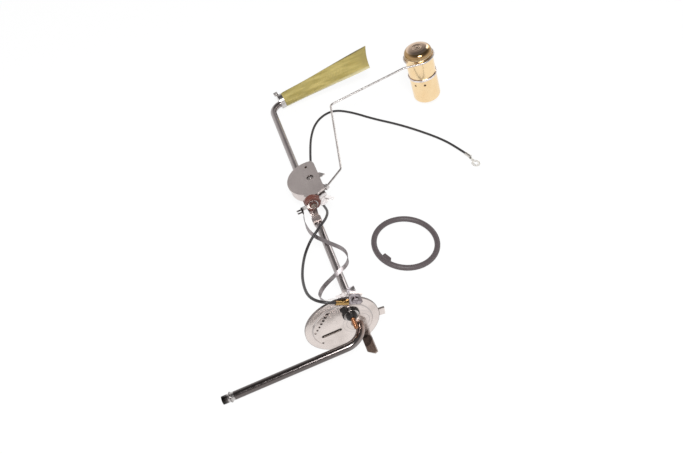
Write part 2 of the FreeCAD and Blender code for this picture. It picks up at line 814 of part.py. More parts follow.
def make_rim_rivet():
    """The rivet through the plate, the terminal's eye and the flange."""
    outer = "(0 - crimp_sheet - ground_plate_sheet)"
    low = f"{outer} - rivet_head_height"
    shank = cylinder("rim_rivet_shank", "rivet_radius", "flange_sheet + crimp_sheet + ground_plate_sheet",
                     ("rivet_x", outer, "rivet_z"), "y")
    head = cylinder("rim_rivet_head", "rivet_head_radius", "rivet_head_height",
                    ("rivet_x", low, "rivet_z"), "y")
    return fuse("rim_rivet", shank, head)


def make_tube_clamp():
    """A clip around the tube, with a flat ear."""
    ring = cylinder("clamp_ring", f"{TUBE_RADIUS} + fit_gap + clamp_sheet", "clamp_length",
                    ("tube_x", "clamp_place", "tube_z"), "y")
    ear = box("clamp_ear_plate", f"{TUBE_RADIUS} + clamp_ear", "clamp_length", "2 * clamp_sheet",
              ("tube_x", "clamp_place", f"tube_z + {TUBE_RADIUS} - clamp_sheet"))
    bore = cylinder("clamp_bore", f"{TUBE_RADIUS} + fit_gap", "3 * clamp_length",
                    ("tube_x", "clamp_place - clamp_length", "tube_z"), "y")
    hole = cylinder("clamp_hole", "clamp_screw_radius + fit_gap", "8 * clamp_sheet",
                    clamp_screw_place("4"), "z")
    return cut("clamp", fuse("clamp_whole", ring, ear), bore, hole)


def clamp_screw_place(below):
    """A place on the clamp screw's axis, some thicknesses below the ear."""
    return (f"tube_x + {TUBE_RADIUS} + 0.6 * clamp_ear", "clamp_place + clamp_length / 2",
            f"tube_z + {TUBE_RADIUS} - clamp_sheet - {below} * clamp_sheet")


def make_clamp_screw():
    """The screw through the clamp's ear."""
    shank = cylinder("clamp_screw_shank", "clamp_screw_radius", "6 * clamp_sheet",
                     clamp_screw_place("4"), "z")
    head = cylinder("clamp_screw_top", "clamp_screw_head", "2 * clamp_sheet",
                    clamp_screw_place("(0 - 2)"), "z")
    return fuse("clamp_screw", shank, head)


def make_clamp_nut():
    """The nut under the clamp's ear."""
    links = {"Circumradius": "clamp_screw_head", "Height": "2 * clamp_sheet"}
    blank = solid("Part::Prism", "clamp_nut_blank", links, clamp_screw_place("2"), ALONG["z"])
    blank.Polygon = 6
    bore = cylinder("clamp_nut_bore", "clamp_screw_radius + fit_gap", "8 * clamp_sheet",
                    clamp_screw_place("5"), "z")
    return cut("clamp_nut", blank, bore)


def housing_block(name, inset, low, tall):
    """A block with the housing's outline: round to the left, straight to the right, with a square foot."""
    right = f"(pivot_x + case_right - {inset})"
    left = f"(pivot_x - case_left_foot + {inset})"
    bottom = f"({END_WALL} + {inset})"
    turn_in = f"0.414 * {inset}"
    bevel = "sqrt(right_bevel_in * right_bevel_in + right_bevel_up * right_bevel_up)"
    bevel_in = f"(right_bevel_in + {inset} * ({bevel} - right_bevel_in) / right_bevel_up)"
    bevel_up = f"(right_bevel_up + {inset} * ({bevel} - right_bevel_up) / right_bevel_in)"
    corner = "sqrt(corner_in * corner_in + corner_rise * corner_rise)"
    corner_down = f"({inset} * ({corner} - corner_rise) / corner_in)"
    disc = cylinder(name + "_round", f"case_radius - {inset}", tall, at_pivot(low), "z")
    foot_outline = outline(name + "_foot_outline", [
        (left, "pivot_y"),
        (left, f"{bottom} - {inset} + left_bevel + {turn_in}"),
        (f"{left} - {inset} + left_bevel + {turn_in}", bottom),
        (f"{right} + {inset} - {bevel_in}", bottom),
        (right, f"{bottom} - {inset} + {bevel_up}"),
        (right, "pivot_y"),
    ], Rotation())
    foot_block = extruded(name + "_foot", foot_outline, Vector(0, 0, 1), tall, low)
    limit_outline = outline(name + "_limit_outline", [
        ("pivot_x - 2 * case_radius", "pivot_y - 2 * case_radius"),
        (right, "pivot_y - 2 * case_radius"),
        (right, f"pivot_y + corner_up - {corner_down}"),
        (f"{right} - 3 * corner_in", f"pivot_y + corner_up + 3 * corner_rise - {corner_down}"),
        ("pivot_x - 2 * case_radius", "pivot_y + corner_up + 3 * corner_rise"),
    ], Rotation())
    limit = extruded(name + "_limit", limit_outline, Vector(0, 0, 1), tall, low)
    return common(name, fuse(name + "_both", disc, foot_block), limit)


def make_case():
    """The housing's can: a floor and a wall that is open where the arm swings out."""
    outer = housing_block("case_outer", "0", CASE_LOW, "case_height")
    inner = housing_block("case_inner", "case_sheet", f"{CASE_LOW} + case_sheet", "case_height")
    window_place = ("pivot_x + window_left", f"{END_WALL} - 2 * case_sheet", f"{CASE_LOW} + case_sheet")
    window = box("case_window", "case_right - window_left + 2 * case_sheet", "window_top + 2 * case_sheet",
                 "case_height", window_place)
    seat = cylinder("case_bush_seat", "bush_radius", "4 * case_sheet",
                    at_pivot(f"{CASE_LOW} - case_sheet"), "z")
    terminal_hole = cylinder("case_terminal_hole", "terminal_rivet_radius + fit_gap", "4 * case_sheet",
                             ("terminal_x", f"{END_WALL} - 2 * case_sheet", "terminal_z"), "y")
    holes = case_rivet_cylinders("case_rivet_hole", "case_rivet_radius + fit_gap",
                                 f"{CASE_LOW} - case_sheet", "3 * case_sheet")
    return cut("case", outer, inner, window, seat, terminal_hole, *holes)


def make_cover():
    """The pressed lid over the can, with its lip outside the wall."""
    grown = "(0 - cover_gap - cover_sheet)"
    outer = housing_block("cover_outer", grown, f"{COVER_LOW} - cover_lip", "cover_lip + cover_sheet")
    inner = housing_block("cover_inner", "(0 - cover_gap)", f"{COVER_LOW} - 2 * cover_lip", "2 * cover_lip")
    hole = cylinder("cover_pivot_hole", "cover_hole_radius", "4 * cover_sheet",
                    at_pivot(f"{COVER_LOW} - cover_sheet"), "z")
    small = cylinder("cover_small_hole", "cover_hole_small", "4 * cover_sheet",
                     ("pivot_x", "pivot_y + cover_hole_up", f"{COVER_LOW} - cover_sheet"), "z")
    return cut("cover", outer, inner, hole, small)


def make_bracket():
    """The plate between the tube and the housing, with its tongue and side ears."""
    disc = cylinder("bracket_round", BRACKET_RADIUS, "bracket_sheet", at_pivot(TUBE_TOP), "z")
    limit = box("bracket_limit", f"{BRACKET_RADIUS} + case_right", f"2 * {BRACKET_RADIUS}", "bracket_sheet",
                (f"pivot_x - {BRACKET_RADIUS}", f"pivot_y - {BRACKET_RADIUS}", TUBE_TOP))
    plate = common("bracket_plate", disc, limit)
    tongue_outline = outline("bracket_tongue_outline", [
        ("tube_x - tongue_end", f"{END_WALL} - bracket_tongue"),
        ("tube_x + tongue_end", f"{END_WALL} - bracket_tongue"),
        ("tube_x + tongue_end", f"{END_WALL} - bracket_tongue + 2 * band_length"),
        ("tube_x + bracket_left", f"{END_WALL}"),
        ("tube_x + bracket_left", "pivot_y"),
        ("tube_x - bracket_left", "pivot_y"),
        ("tube_x - bracket_left", f"{END_WALL}"),
        ("tube_x - tongue_end", f"{END_WALL} - bracket_tongue + 2 * band_length"),
    ], Rotation())
    tongue = extruded("bracket_tongue_plate", tongue_outline, Vector(0, 0, 1), "bracket_sheet", TUBE_TOP)
    ear_outline = outline("bracket_ear_outline", [
        ("pivot_x", "pivot_y + bracket_ear / 2"),
        ("pivot_x + case_right + bracket_ear", "pivot_y + 1.2 * bracket_ear"),
        ("pivot_x + case_right + bracket_ear / 3", "pivot_y + 2 * bracket_ear"),
        ("pivot_x", "pivot_y + 2.2 * bracket_ear"),
    ], Rotation())
    ear = extruded("bracket_ear_plate", ear_outline, Vector(0, 0, 1), "bracket_sheet", TUBE_TOP)
    side_outline = outline("bracket_side_outline", [
        ("pivot_x - 1", f"{END_WALL} + 8"),
        ("pivot_x - 1", f"{END_WALL} - side_drop + 1"),
        ("pivot_x + 4", f"{END_WALL} - side_drop"),
        ("pivot_x + case_right + side_reach", f"{END_WALL} - side_drop / 2"),
        ("pivot_x + case_right + side_reach", f"{END_WALL} + 8"),
    ], Rotation())
    side = extruded("bracket_side_plate", side_outline, Vector(0, 0, 1), "bracket_sheet", TUBE_TOP)
    holes = case_rivet_cylinders("bracket_rivet_hole", "case_rivet_radius + fit_gap",
                                 f"{TUBE_TOP} - bracket_sheet", "3 * bracket_sheet")
    return cut("bracket", fuse("bracket_whole", plate, tongue, ear, side), *holes)


def case_rivet_cylinders(name, radius, low, tall):
    """Two round bars on the rivet places beside the tube."""
    bars = []
    for number, angle in enumerate(("35", "115")):
        place = (f"pivot_x + case_rivet_out * cos({angle})", f"pivot_y + case_rivet_out * sin({angle})", low)
        bars.append(cylinder(f"{name}_{number}", radius, tall, place, "z"))
    return bars


def make_case_rivets():
    """Two rivets that join the can to its bracket."""
    shanks = case_rivet_cylinders("case_rivet_shank", "case_rivet_radius",
                                  TUBE_TOP, "bracket_sheet + case_sheet")
    heads = case_rivet_cylinders("case_rivet_head", "1.7 * case_rivet_radius",
                                 f"{CASE_LOW} + case_sheet", "0.7")
    rivets = []
    for number, (shank, head) in enumerate(zip(shanks, heads)):
        rivets.append(fuse(f"case_rivet_{number}", shank, head))
    return group("case_rivets_group", *rivets)


def make_band(name, y, over):
    """A band that goes under the tube and up to the bracket, and over its tongue where it is closed."""
    outer = f"({TUBE_RADIUS} + fit_gap + band_sheet)"
    inner = f"({TUBE_RADIUS} + fit_gap)"
    half_round = cylinder(name + "_round", outer, "band_length", ("tube_x", y, "tube_z"), "y")
    tall = f"{TUBE_TOP} - tube_z - fit_gap"
    opening = f"{TUBE_TOP} - tube_z + bracket_sheet + fit_gap"
    if over:
        tall = f"{opening} + band_sheet"
    upright = box(name + "_upright", f"2 * {outer}", "band_length", tall, (f"tube_x - {outer}", y, "tube_z"))
    whole = fuse(name + "_whole", half_round, upright)
    bore = cylinder(name + "_bore", inner, "3 * band_length", ("tube_x", f"{y} - band_length", "tube_z"), "y")
    throat = box(name + "_throat", f"2 * {inner}", "3 * band_length", opening,
                 (f"tube_x - {inner}", f"{y} - band_length", "tube_z"))
    top = box(name + "_top", f"4 * {outer}", "3 * band_length", "4 * band_sheet",
              (f"tube_x - 2 * {outer}", f"{y} - band_length", f"tube_z + {tall}"))
    return cut(name, whole, bore, throat, top)


def ring_sector(name, inner, outer, low, tall):
    """Part of an upright ring about the pivot, over the rheostat's sweep."""
    blank = cylinder(name + "_blank", outer, tall, at_pivot(low), "z", "card_sweep")
    blank.Placement = Placement(Vector(), Rotation(Vector(0, 0, 1), size("card_first")))
    for link, text in zip("xyz", at_pivot(low)):
        blank.setExpression("Placement.Base." + link, linked(text))
    hollow = cylinder(name + "_hollow", inner, f"3 * ({tall})", at_pivot(f"{low} - ({tall})"), "z")
    return cut(name, blank, hollow)


def make_card():
    """The insulating strip that carries the resistance wire."""
    return ring_sector("card", CARD, f"{CARD} + card_sheet", f"{CASE_LOW} + case_sheet", "card_height")


def make_winding():
    """The resistance wire, wound over the strip."""
    low = f"({CASE_LOW} + case_sheet + (card_height - winding_height) / 2)"
    sleeve = ring_sector("winding_sleeve", f"{CARD} - winding_sheet",
                         f"{CARD} + card_sheet + winding_sheet", low, "winding_height")
    core = cylinder("winding_core_outer", f"{CARD} + card_sheet + fit_gap", "3 * card_height",
                    at_pivot(f"{CASE_LOW} - card_height"), "z")
    core_hole = cylinder("winding_core_inner", f"{CARD} - fit_gap", "4 * card_height",
                         at_pivot(f"{CASE_LOW} - 1.5 * card_height"), "z")
    core_ring = cut("winding_core", core, core_hole)
    return cut("winding", sleeve, core_ring)


def make_bush():
    """The brass bearing in the can's floor."""
    blank = cylinder("bush_blank", "bush_radius - fit_gap", "bush_height", at_pivot(CASE_LOW), "z")
    bore = cylinder("bush_bore", "shaft_radius + shaft_gap", "3 * bush_height",
                    at_pivot(f"{CASE_LOW} - bush_height"), "z")
    return cut("bush", blank, bore)


def make_shaft():
    """The pivot shaft, with a shoulder under the lid."""
    rod = cylinder("shaft_rod", "shaft_radius", "case_height + cover_sheet - shaft_sunk - 0.1",
                   at_pivot(f"{CASE_LOW} + 0.1"), "z")
    shoulder = cylinder("shaft_shoulder", "shaft_radius + 0.9", "0.7", at_pivot("hub_top + 0.05"), "z")
    return fuse("shaft", rod, shoulder)


def wire_heading():
    """Direction of the float arm's first leg, and its angle in degrees."""
    heading = direction(Vector(size("elbow_x") - size("root_x"), size("elbow_y") - size("root_y"), 0))
    return heading, math.degrees(math.atan2(heading.y, heading.x))


def make_lever():
    """The hub with the lever that reaches out of the can and grips the wire."""
    heading, angle = wire_heading()
    pivot = Vector(size("pivot_x"), size("pivot_y"), 0)
    root = Vector(size("root_x"), size("root_y"), size("arm_z"))
    low = size("arm_z") - size("wire_radius") - size("lever_drop")
    case_floor = size("tube_z") + size("tube_outside") / 2 + size("fit_gap") + size("bracket_sheet")
    hub_low = case_floor + size("bush_height") + size("fit_gap")
    hub = Part.makeCylinder(size("hub_radius"), size("hub_top") - hub_low, pivot + Vector(0, 0, hub_low))
    grip_middle = root + heading * (size("grip_length") / 2 + 0.4)
    toward = direction(Vector(grip_middle.x - pivot.x, grip_middle.y - pivot.y, 0))
    distance = Vector(grip_middle.x - pivot.x, grip_middle.y - pivot.y, 0).Length
    lever = Part.makeBox(distance, size("lever_width"), size("lever_sheet"),
                         Vector(0, -size("lever_width") / 2, 0))
    lever.Placement = Placement(pivot + Vector(0, 0, low), Rotation(Vector(1, 0, 0), toward))
    half = size("wire_radius") + size("grip_wall")
    grip_tall = size("arm_z") + size("wire_radius") + size("grip_wall") - low
    grip = Part.makeBox(size("grip_length"), 2 * half, grip_tall, Vector(0, -half, 0))
    grip_start = root + heading * 0.4
    grip.Placement = Placement(Vector(grip_start.x, grip_start.y, low), Rotation(Vector(0, 0, 1), angle))
    wire_bore = Part.makeCylinder(size("wire_radius") + size("fit_gap"), size("grip_length") + 4,
                                  root - heading * 2, heading)
    shaft_bore = Part.makeCylinder(size("shaft_radius") + size("fit_gap"), 40, pivot - Vector(0, 0, 10))
    whole = hub.fuse([lever, grip]).cut(wire_bore).cut(shaft_bore)
    return shaped("lever", whole.removeSplitter())


def make_wiper():
    """The spring arm that slides along the winding."""
    inner = "(hub_radius + fit_gap)"
    tip = f"({CARD} - winding_sheet - wiper_gap)"
    strip = ray("wiper_strip", "wiper_angle", "arm_z", inner, f"{tip} - {inner} - 1",
                "wiper_width", "wiper_sheet")
    contact = ray("wiper_contact", "wiper_angle", "arm_z - 1", f"{tip} - 1.4", "1.4", "wiper_width / 2",
                  "2 + wiper_sheet")
    return fuse("wiper", strip, contact)


def make_terminal_block():
    """The red-brown insulator on the can's end wall: a foot, a drum, a groove and a boss."""
    foot_low = f"({END_WALL} - terminal_foot)"
    foot_plate = box("terminal_foot_plate", "2 * terminal_radius + 1", "terminal_foot",
                     "case_height - cover_lip - 0.2",
                     ("terminal_x - terminal_radius - 0.5", foot_low, CASE_LOW))
    drum = cylinder("terminal_drum", "terminal_radius", "terminal_length", at_terminal(TERMINAL_FACE), "y")
    boss_low = f"{TERMINAL_FACE} - boss_length"
    boss = cylinder("terminal_boss", "boss_radius", "boss_length + 1", at_terminal(boss_low), "y")
    groove_middle = f"{TERMINAL_FACE} + terminal_length / 2"
    groove = torus("terminal_ring", "terminal_radius", "terminal_groove", at_terminal(groove_middle), "y")
    bore = cylinder("terminal_bore", "terminal_rivet_radius + fit_gap",
                    "terminal_foot + terminal_length + 2 * boss_length",
                    at_terminal(f"{boss_low} - boss_length"), "y")
    flat = box("terminal_flat", "4 * terminal_radius", "2 * terminal_length", "2 * terminal_radius",
               ("terminal_x - 2 * terminal_radius", f"{foot_low} - 1.5 * terminal_length",
                f"{CASE_LOW} + terminal_clear - 2 * terminal_radius"))
    whole = fuse("terminal_whole", foot_plate, cut("terminal_drum_flat", drum, flat), boss)
    return cut("terminal", whole, groove, bore)


def at_terminal(y):
    """A place on the axis of the sender's terminal."""
    return ("terminal_x", y, "terminal_z")


def make_terminal_rivet():
    """The rivet through the insulator and the can's wall."""
    outer = f"({TERMINAL_FACE} - boss_length)"
    shank = cylinder("terminal_rivet_shank", "terminal_rivet_radius",
                     "terminal_foot + terminal_length + boss_length + case_sheet", at_terminal(outer), "y")
    head = cylinder("terminal_rivet_front", "terminal_rivet_head", "rivet_head_thickness",
                    at_terminal(f"{outer} - rivet_head_thickness"), "y")
    tail = cylinder("terminal_rivet_tail", "1.6 * terminal_rivet_radius", "0.6",
                    at_terminal(f"{END_WALL} + case_sheet"), "y")
    return fuse("terminal_rivet", shank, head, tail)


def make_contact_clip():
    """The spring clip around the boss, with a forked end that holds the contact strap."""
    face = f"({TERMINAL_FACE} - clip_sheet)"
    left = "(terminal_x - clip_reach)"
    half = "clip_width / 2"
    eye = cylinder("clip_eye_disc", "clip_eye", "clip_sheet", at_terminal(face), "y")
    strip = box("clip_strip", "clip_reach", "clip_sheet", "clip_width", (left, face, f"terminal_z - {half}"))
    cheek = box("clip_cheek", "clip_sheet", "clip_prong", "clip_width",
                (left, f"{face} - clip_prong + clip_sheet", f"terminal_z - {half}"))
    prongs = []
    for name, z in (("upper", f"terminal_z + {half} - clip_prong_width"), ("lower", f"terminal_z - {half}")):
        prongs.append(box(f"clip_prong_{name}", "clip_prong", "clip_prong_width", "clip_prong_width",
                          (f"{left} - clip_prong + clip_sheet", f"{face} - clip_prong / 2", z)))
    bore = cylinder("clip_bore", "boss_radius + fit_gap", "6 * clip_sheet",
                    at_terminal(f"{face} - 3 * clip_sheet"), "y")
    return cut("contact_clip", fuse("clip_whole", eye, strip, cheek, *prongs), bore)


def make_side_clip():
    """The small clip with a hole that slants away from the bracket's side plate."""
    x = "(pivot_x + case_right - 2)"
    y = f"({END_WALL} - side_drop / 2 + 3)"
    turned = Rotation(Vector(0, 0, 1), size("side_clip_turn"))
    foot_pad = box("side_clip_foot", "4", "4", "clip_sheet", (f"{x} - 1", f"{y} - 1", CASE_LOW))
    post = box("side_clip_post", "3", "clip_sheet", "side_clip_rise", (f"{x} - 0.5", y, CASE_LOW))
    leaf = box("side_clip_leaf", "side_clip_length", "side_clip_width", "clip_sheet",
               (f"{x} - 1", y, f"{CASE_LOW} + side_clip_rise - clip_sheet"), turned)
    reach = "(side_clip_length - 2.2)"
    middle = "side_clip_width / 2"
    hole_x = f"{x} - 1 + {reach} * cos(side_clip_turn) - {middle} * sin(side_clip_turn)"
    hole_y = f"{y} + {reach} * sin(side_clip_turn) + {middle} * cos(side_clip_turn)"
    hole = cylinder("side_clip_hole", "1", "4", (hole_x, hole_y, f"{CASE_LOW} + 1"), "z")
    return cut("side_clip", fuse("side_clip_whole", foot_pad, post, leaf), hole)


def make_arm():
    """The float arm: a wire with three bends and a loop around the float."""
    z = size("arm_z")
    centre = Vector(size("float_x"), size("float_y"), z)
    loop_radius = size("float_radius") + size("wire_radius")
    neck = Vector(size("neck_x"), size("neck_y"), z)
    reach = centre - neck
    aside = math.asin(loop_radius / reach.Length)
    heading = math.atan2(reach.y, reach.x) - aside
    tangent = neck + Vector(math.cos(heading), math.sin(heading), 0) * reach.Length * math.cos(aside)
    points = [
        Vector(size("root_x"), size("root_y"), z),
        Vector(size("elbow_x"), size("elbow_y"), z),
        Vector(size("knee_x"), size("knee_y"), z),
        neck,
        tangent,
    ]
    edges = rounded_path(points, [size("arm_bend")] * 3)
    first = math.atan2(tangent.y - centre.y, tangent.x - centre.x)
    sweep = math.radians(size("loop_sweep"))
    stops = []
    for number in range(5):
        angle = first + sweep * number / 4
        stops.append(centre + Vector(math.cos(angle), math.sin(angle), 0) * loop_radius)
    edges.append(Part.Arc(stops[0], stops[1], stops[2]).toShape())
    edges.append(Part.Arc(stops[2], stops[3], stops[4]).toShape())
    return shaped("arm", swept(edges, size("wire_radius")))


def float_can(name, radius, low, tall, rounding, round_height):
    """A round can about the float's axis with one end rounded."""
    blank = cylinder(name + "_blank", radius, tall, ("float_x", "float_y", low), "z")
    return rounded(name, blank, rounding, round_height)


def make_upper_shell():
    """The float's upper half, with the groove that the wire lies in."""
    top = size("arm_z") + size("float_above")
    outer = float_can("upper_outer", "float_radius", "arm_z - float_seam", "float_seam + float_above",
                      "float_crown", top)
    inner = float_can("upper_inner", "float_radius - float_wall", "arm_z - float_seam - 1",
                      "float_seam + float_above - float_wall + 1", "float_crown", top - size("float_wall"))
    groove = torus("upper_groove", "float_radius + wire_radius", "wire_radius + float_gap",
                   ("float_x", "float_y", "arm_z"))
    return cut("upper_shell", outer, inner, groove)


def make_lower_shell():
    """The float's lower half."""
    bottom = size("arm_z") - size("float_below")
    outer = float_can("lower_outer", "float_radius", "arm_z - float_below", "float_below - float_seam",
                      "float_heel", bottom)
    inner = float_can("lower_inner", "float_radius - float_wall", "arm_z - float_below + float_wall",
                      "float_below - float_seam + 1", "float_heel", bottom + size("float_wall"))
    return cut("lower_shell", outer, inner)


def make_float_band():
    """The soldered band over the float's seam."""
    low = "arm_z - float_seam - band_tall / 2"
    blank = cylinder("float_band_blank", "float_radius + band_rise", "band_tall",
                     ("float_x", "float_y", low), "z")
    bore = cylinder("float_band_bore", "float_radius + fit_gap", "3 * band_tall",
                    ("float_x", "float_y", f"{low} - band_tall"), "z")
    return cut("float_band", blank, bore)


def sleeve_frame():
    """Start of the sleeve, its direction, the way its flat end points and the way it is thin."""
    points, pickup = tube_corners()
    start = points[2] + pickup * size("pickup_leg") + Vector(0, 0, size("sleeve_rise"))
    aside = Vector(-pickup.y, pickup.x, 0)
    turn = math.radians(size("sleeve_turn"))
    flat = aside * math.cos(turn) + Vector(0, 0, 1) * math.sin(turn)
    thin = pickup.cross(flat)
    return start, pickup, flat, thin


def sleeve_loft(inset, first, last):
    """A smooth body between stations along the sleeve, its outline drawn in by an inset."""
    start, pickup, flat, thin = sleeve_frame()
    neck = size("collar_radius") - size("collar_wall") - size("fit_gap")
    full = size("sleeve_round")
    wide, thick = size("sleeve_end_width") / 2, size("sleeve_end_thickness") / 2
    length = size("sleeve_length")
    stations = [
        (first, neck + 0.02, neck),
        (size("collar_length") + 0.08 * length, full + 0.2, full),
        (size("collar_length") + 0.33 * length, 0.2 * wide + 0.8 * full, 0.92 * full),
        (size("collar_length") + 0.6 * length, 0.55 * wide + 0.45 * full, 0.66 * full),
        (last, wide, thick),
    ]
    rings = []
    for along, half_wide, half_thick in stations:
        centre = start + pickup * along
        slant = size("sleeve_slant") if along == last else 0
        ring = []
        for number in range(24):
            turn = 2 * math.pi * number / 24
            wide_part = flat * (half_wide - inset) + pickup * slant
            ring.append(centre + wide_part * math.cos(turn) + thin * (half_thick - inset) * math.sin(turn))
        curve = Part.BSplineCurve()
        curve.interpolate(ring, PeriodicFlag=True)
        rings.append(Part.Wire([curve.toShape()]))
    return Part.makeLoft(rings, True, False)


def make_sleeve():
    """The strainer sleeve: a thin skin, round at its neck and flat at its sealed end."""
    start, pickup, flat, thin = sleeve_frame()
    neck = size("collar_radius") - size("collar_wall") - size("fit_gap")
    shoulder = size("collar_length")
    wall = size("sleeve_wall")
    last = size("sleeve_length") - size("sleeve_slant")
    outside = sleeve_loft(0, shoulder, last)
    inside = sleeve_loft(wall, shoulder + 2, last - 2 * wall)
    neck_plug = Part.makeCylinder(neck - 0.25, shoulder + 0.5, start, pickup)
    hose_bore = Part.makeCylinder(size("tube_outside") / 2 + size("fit_gap"), size("pickup_inside") + 3,
                                  start - pickup * 2 - Vector(0, 0, size("sleeve_rise")), pickup)
    return shaped("sleeve", outside.fuse(neck_plug).cut(inside).cut(hose_bore))


def make_collar():
    """The metal ferrule that grips the sleeve's neck, with a small ear."""
    start, pickup, flat, thin = sleeve_frame()
    length, radius = size("collar_length"), size("collar_radius")
    ring = Part.makeCylinder(radius, length, start, pickup)
    ear = Part.makeBox(length, 5, 2.4, Vector(-0.6 * length, 0.35 * radius, 0.86 * radius))
    ear.Placement = Placement(start, Rotation(Vector(0, 0, 1), size("pickup_tilt")))
    bore = Part.makeCylinder(radius - size("collar_wall"), length + 2, start - pickup, pickup)
    floor_disc = Part.makeCylinder(radius - size("collar_wall") / 2, size("collar_wall"),
                                   start - pickup * size("collar_wall"), pickup)
    tube_axis = start - pickup * 3 - Vector(0, 0, size("sleeve_rise"))
    tube_bore = Part.makeCylinder(size("tube_outside") / 2 + size("fit_gap"), length, tube_axis, pickup)
    return shaped("collar", ring.fuse([ear]).cut(bore).fuse(floor_disc).cut(tube_bore).removeSplitter())


def strap_ends():
    """Where the contact strap starts on its clip and where it ends on the inner terminal."""
    end_wall = size("pivot_y") - size("case_radius") - size("case_foot_reach")
    clip_face = end_wall - size("terminal_foot") - size("terminal_length") - size("clip_sheet")
    clear = STRAP_THICKNESS / 2 + size("fit_gap")
    clip_end = Vector(size("terminal_x") - size("clip_reach"), clip_face, size("terminal_z"))
    clip_end += Vector(size("clip_sheet") + 2 * clear, -2 * clear, 0)
    flat_top = size("stud_z") + size("tongue_height") + size("tongue_sheet")
    plate_low = size("flange_sheet") - size("plateau_rise") + size("washer_thickness")
    terminal_end = Vector(size("stud_x") - size("tongue_left") + 1.6, 0, flat_top + clear)
    terminal_end.y = plate_low + 0.7 * size("tongue_length")
    return clip_end, terminal_end


def make_strap():
    """The flat contact strap, lofted through its stations."""
    clip_end, terminal_end = strap_ends()
    middles = []
    for share, aside, across in STRAP:
        middles.append(clip_end + (terminal_end - clip_end) * share + Vector(*aside))
    rings = []
    for number, (share, aside, across) in enumerate(STRAP):
        before = middles[max(number - 1, 0)]
        after = middles[min(number + 1, len(middles) - 1)]
        heading = direction(after - before)
        wide = Vector(*across)
        width = STRAP_WIDTH if share < STRAP_TAPER_FROM else STRAP_END_WIDTH
        wide = direction(wide - heading * wide.dot(heading)) * (width / 2)
        thick = direction(heading.cross(wide)) * (STRAP_THICKNESS / 2)
        middle = middles[number]
        corners = [middle - wide - thick, middle + wide - thick, middle + wide + thick, middle - wide + thick]
        rings.append(Part.makePolygon(corners + [corners[0]]))
    return shaped("strap", Part.makeLoft(rings, True, False))


def make_seal(foot):
    """The seal ring, flat on the surface, with a moulded tab inside."""
    radius, section = size("seal_radius"), size("seal_section")
    ring = Part.makeTorus(radius, section)
    tab_corner = Vector(radius - section - size("seal_tab_reach"), -size("seal_tab_length") / 2, -section)
    tab = Part.makeBox(size("seal_tab_reach") + section, size("seal_tab_length"), size("seal_tab_height"),
                       tab_corner)
    tab.rotate(Vector(), Vector(0, 0, 1), size("seal_tab_angle"))
    place = foot + Vector(size("seal_from_flange_x"), size("seal_from_flange_y"), section)
    return shaped("seal", ring.fuse(tab).removeSplitter()), Placement(place, Rotation())


def lead_points(foot):
    """The lead's route as vectors in the model's frame."""
    return [foot + Vector(*place) for place in LEAD_ROUTE]


def make_lead(foot):
    """The ground lead as a tube of runs and tangent arcs."""
    points = lead_points(foot)
    radii = free_radii(points)
    print("lead radii:", " ".join(f"{radius:.0f}" for radius in radii))
    edges = rounded_path(points, radii)
    print(f"lead length: {Part.Wire(edges).Length:.1f} mm")
    return shaped("lead", swept(edges, size("lead_diameter") / 2))


def make_ring_terminal(foot):
    """The terminal on the lead's far end: a barrel around the lead and a ring to screw down."""
    end = lead_points(foot)[-1]
    before = lead_points(foot)[-2]
    centre = foot + Vector(*RING_TERMINAL_CENTRE, 0)
    heading = direction(end - before)
    barrel_start = end - heading * (size("ring_barrel_length") - 2)
    barrel = Part.makeCylinder(size("ring_barrel_radius"), size("ring_barrel_length"), barrel_start, heading)
    bore_radius = size("lead_diameter") / 2 + size("lead_clearance")
    bore_start = end - heading * size("ring_barrel_length")
    bore = Part.makeCylinder(bore_radius, size("ring_barrel_length"), bore_start, heading)
    sheet_thickness = size("ring_terminal_sheet")
    ring = Part.makeCylinder(size("ring_terminal_radius"), sheet_thickness, centre)
    barrel_end = end + heading * 2
    along = direction(Vector(centre.x - barrel_end.x, centre.y - barrel_end.y, 0))
    reach = Vector(centre.x - barrel_end.x, centre.y - barrel_end.y, 0).Length + 1.5
    half = size("ring_barrel_radius") * 0.8
    neck = Part.makeBox(reach, 2 * half, sheet_thickness, Vector(0, -half, 0))
    neck_start = Vector(barrel_end.x, barrel_end.y, 0) - along * 1.5
    neck.Placement = Placement(neck_start, Rotation(Vector(1, 0, 0), along))
    hole = Part.makeCylinder(size("ring_terminal_hole"), 10, centre - Vector(0, 0, 5))
    whole = barrel.fuse([ring, neck]).cut(bore).cut(hole)
    below = Part.makeBox(60, 60, 20, Vector(centre.x - 30, centre.y - 30, -20))
    return shaped("ring_terminal", whole.cut(below).removeSplitter())


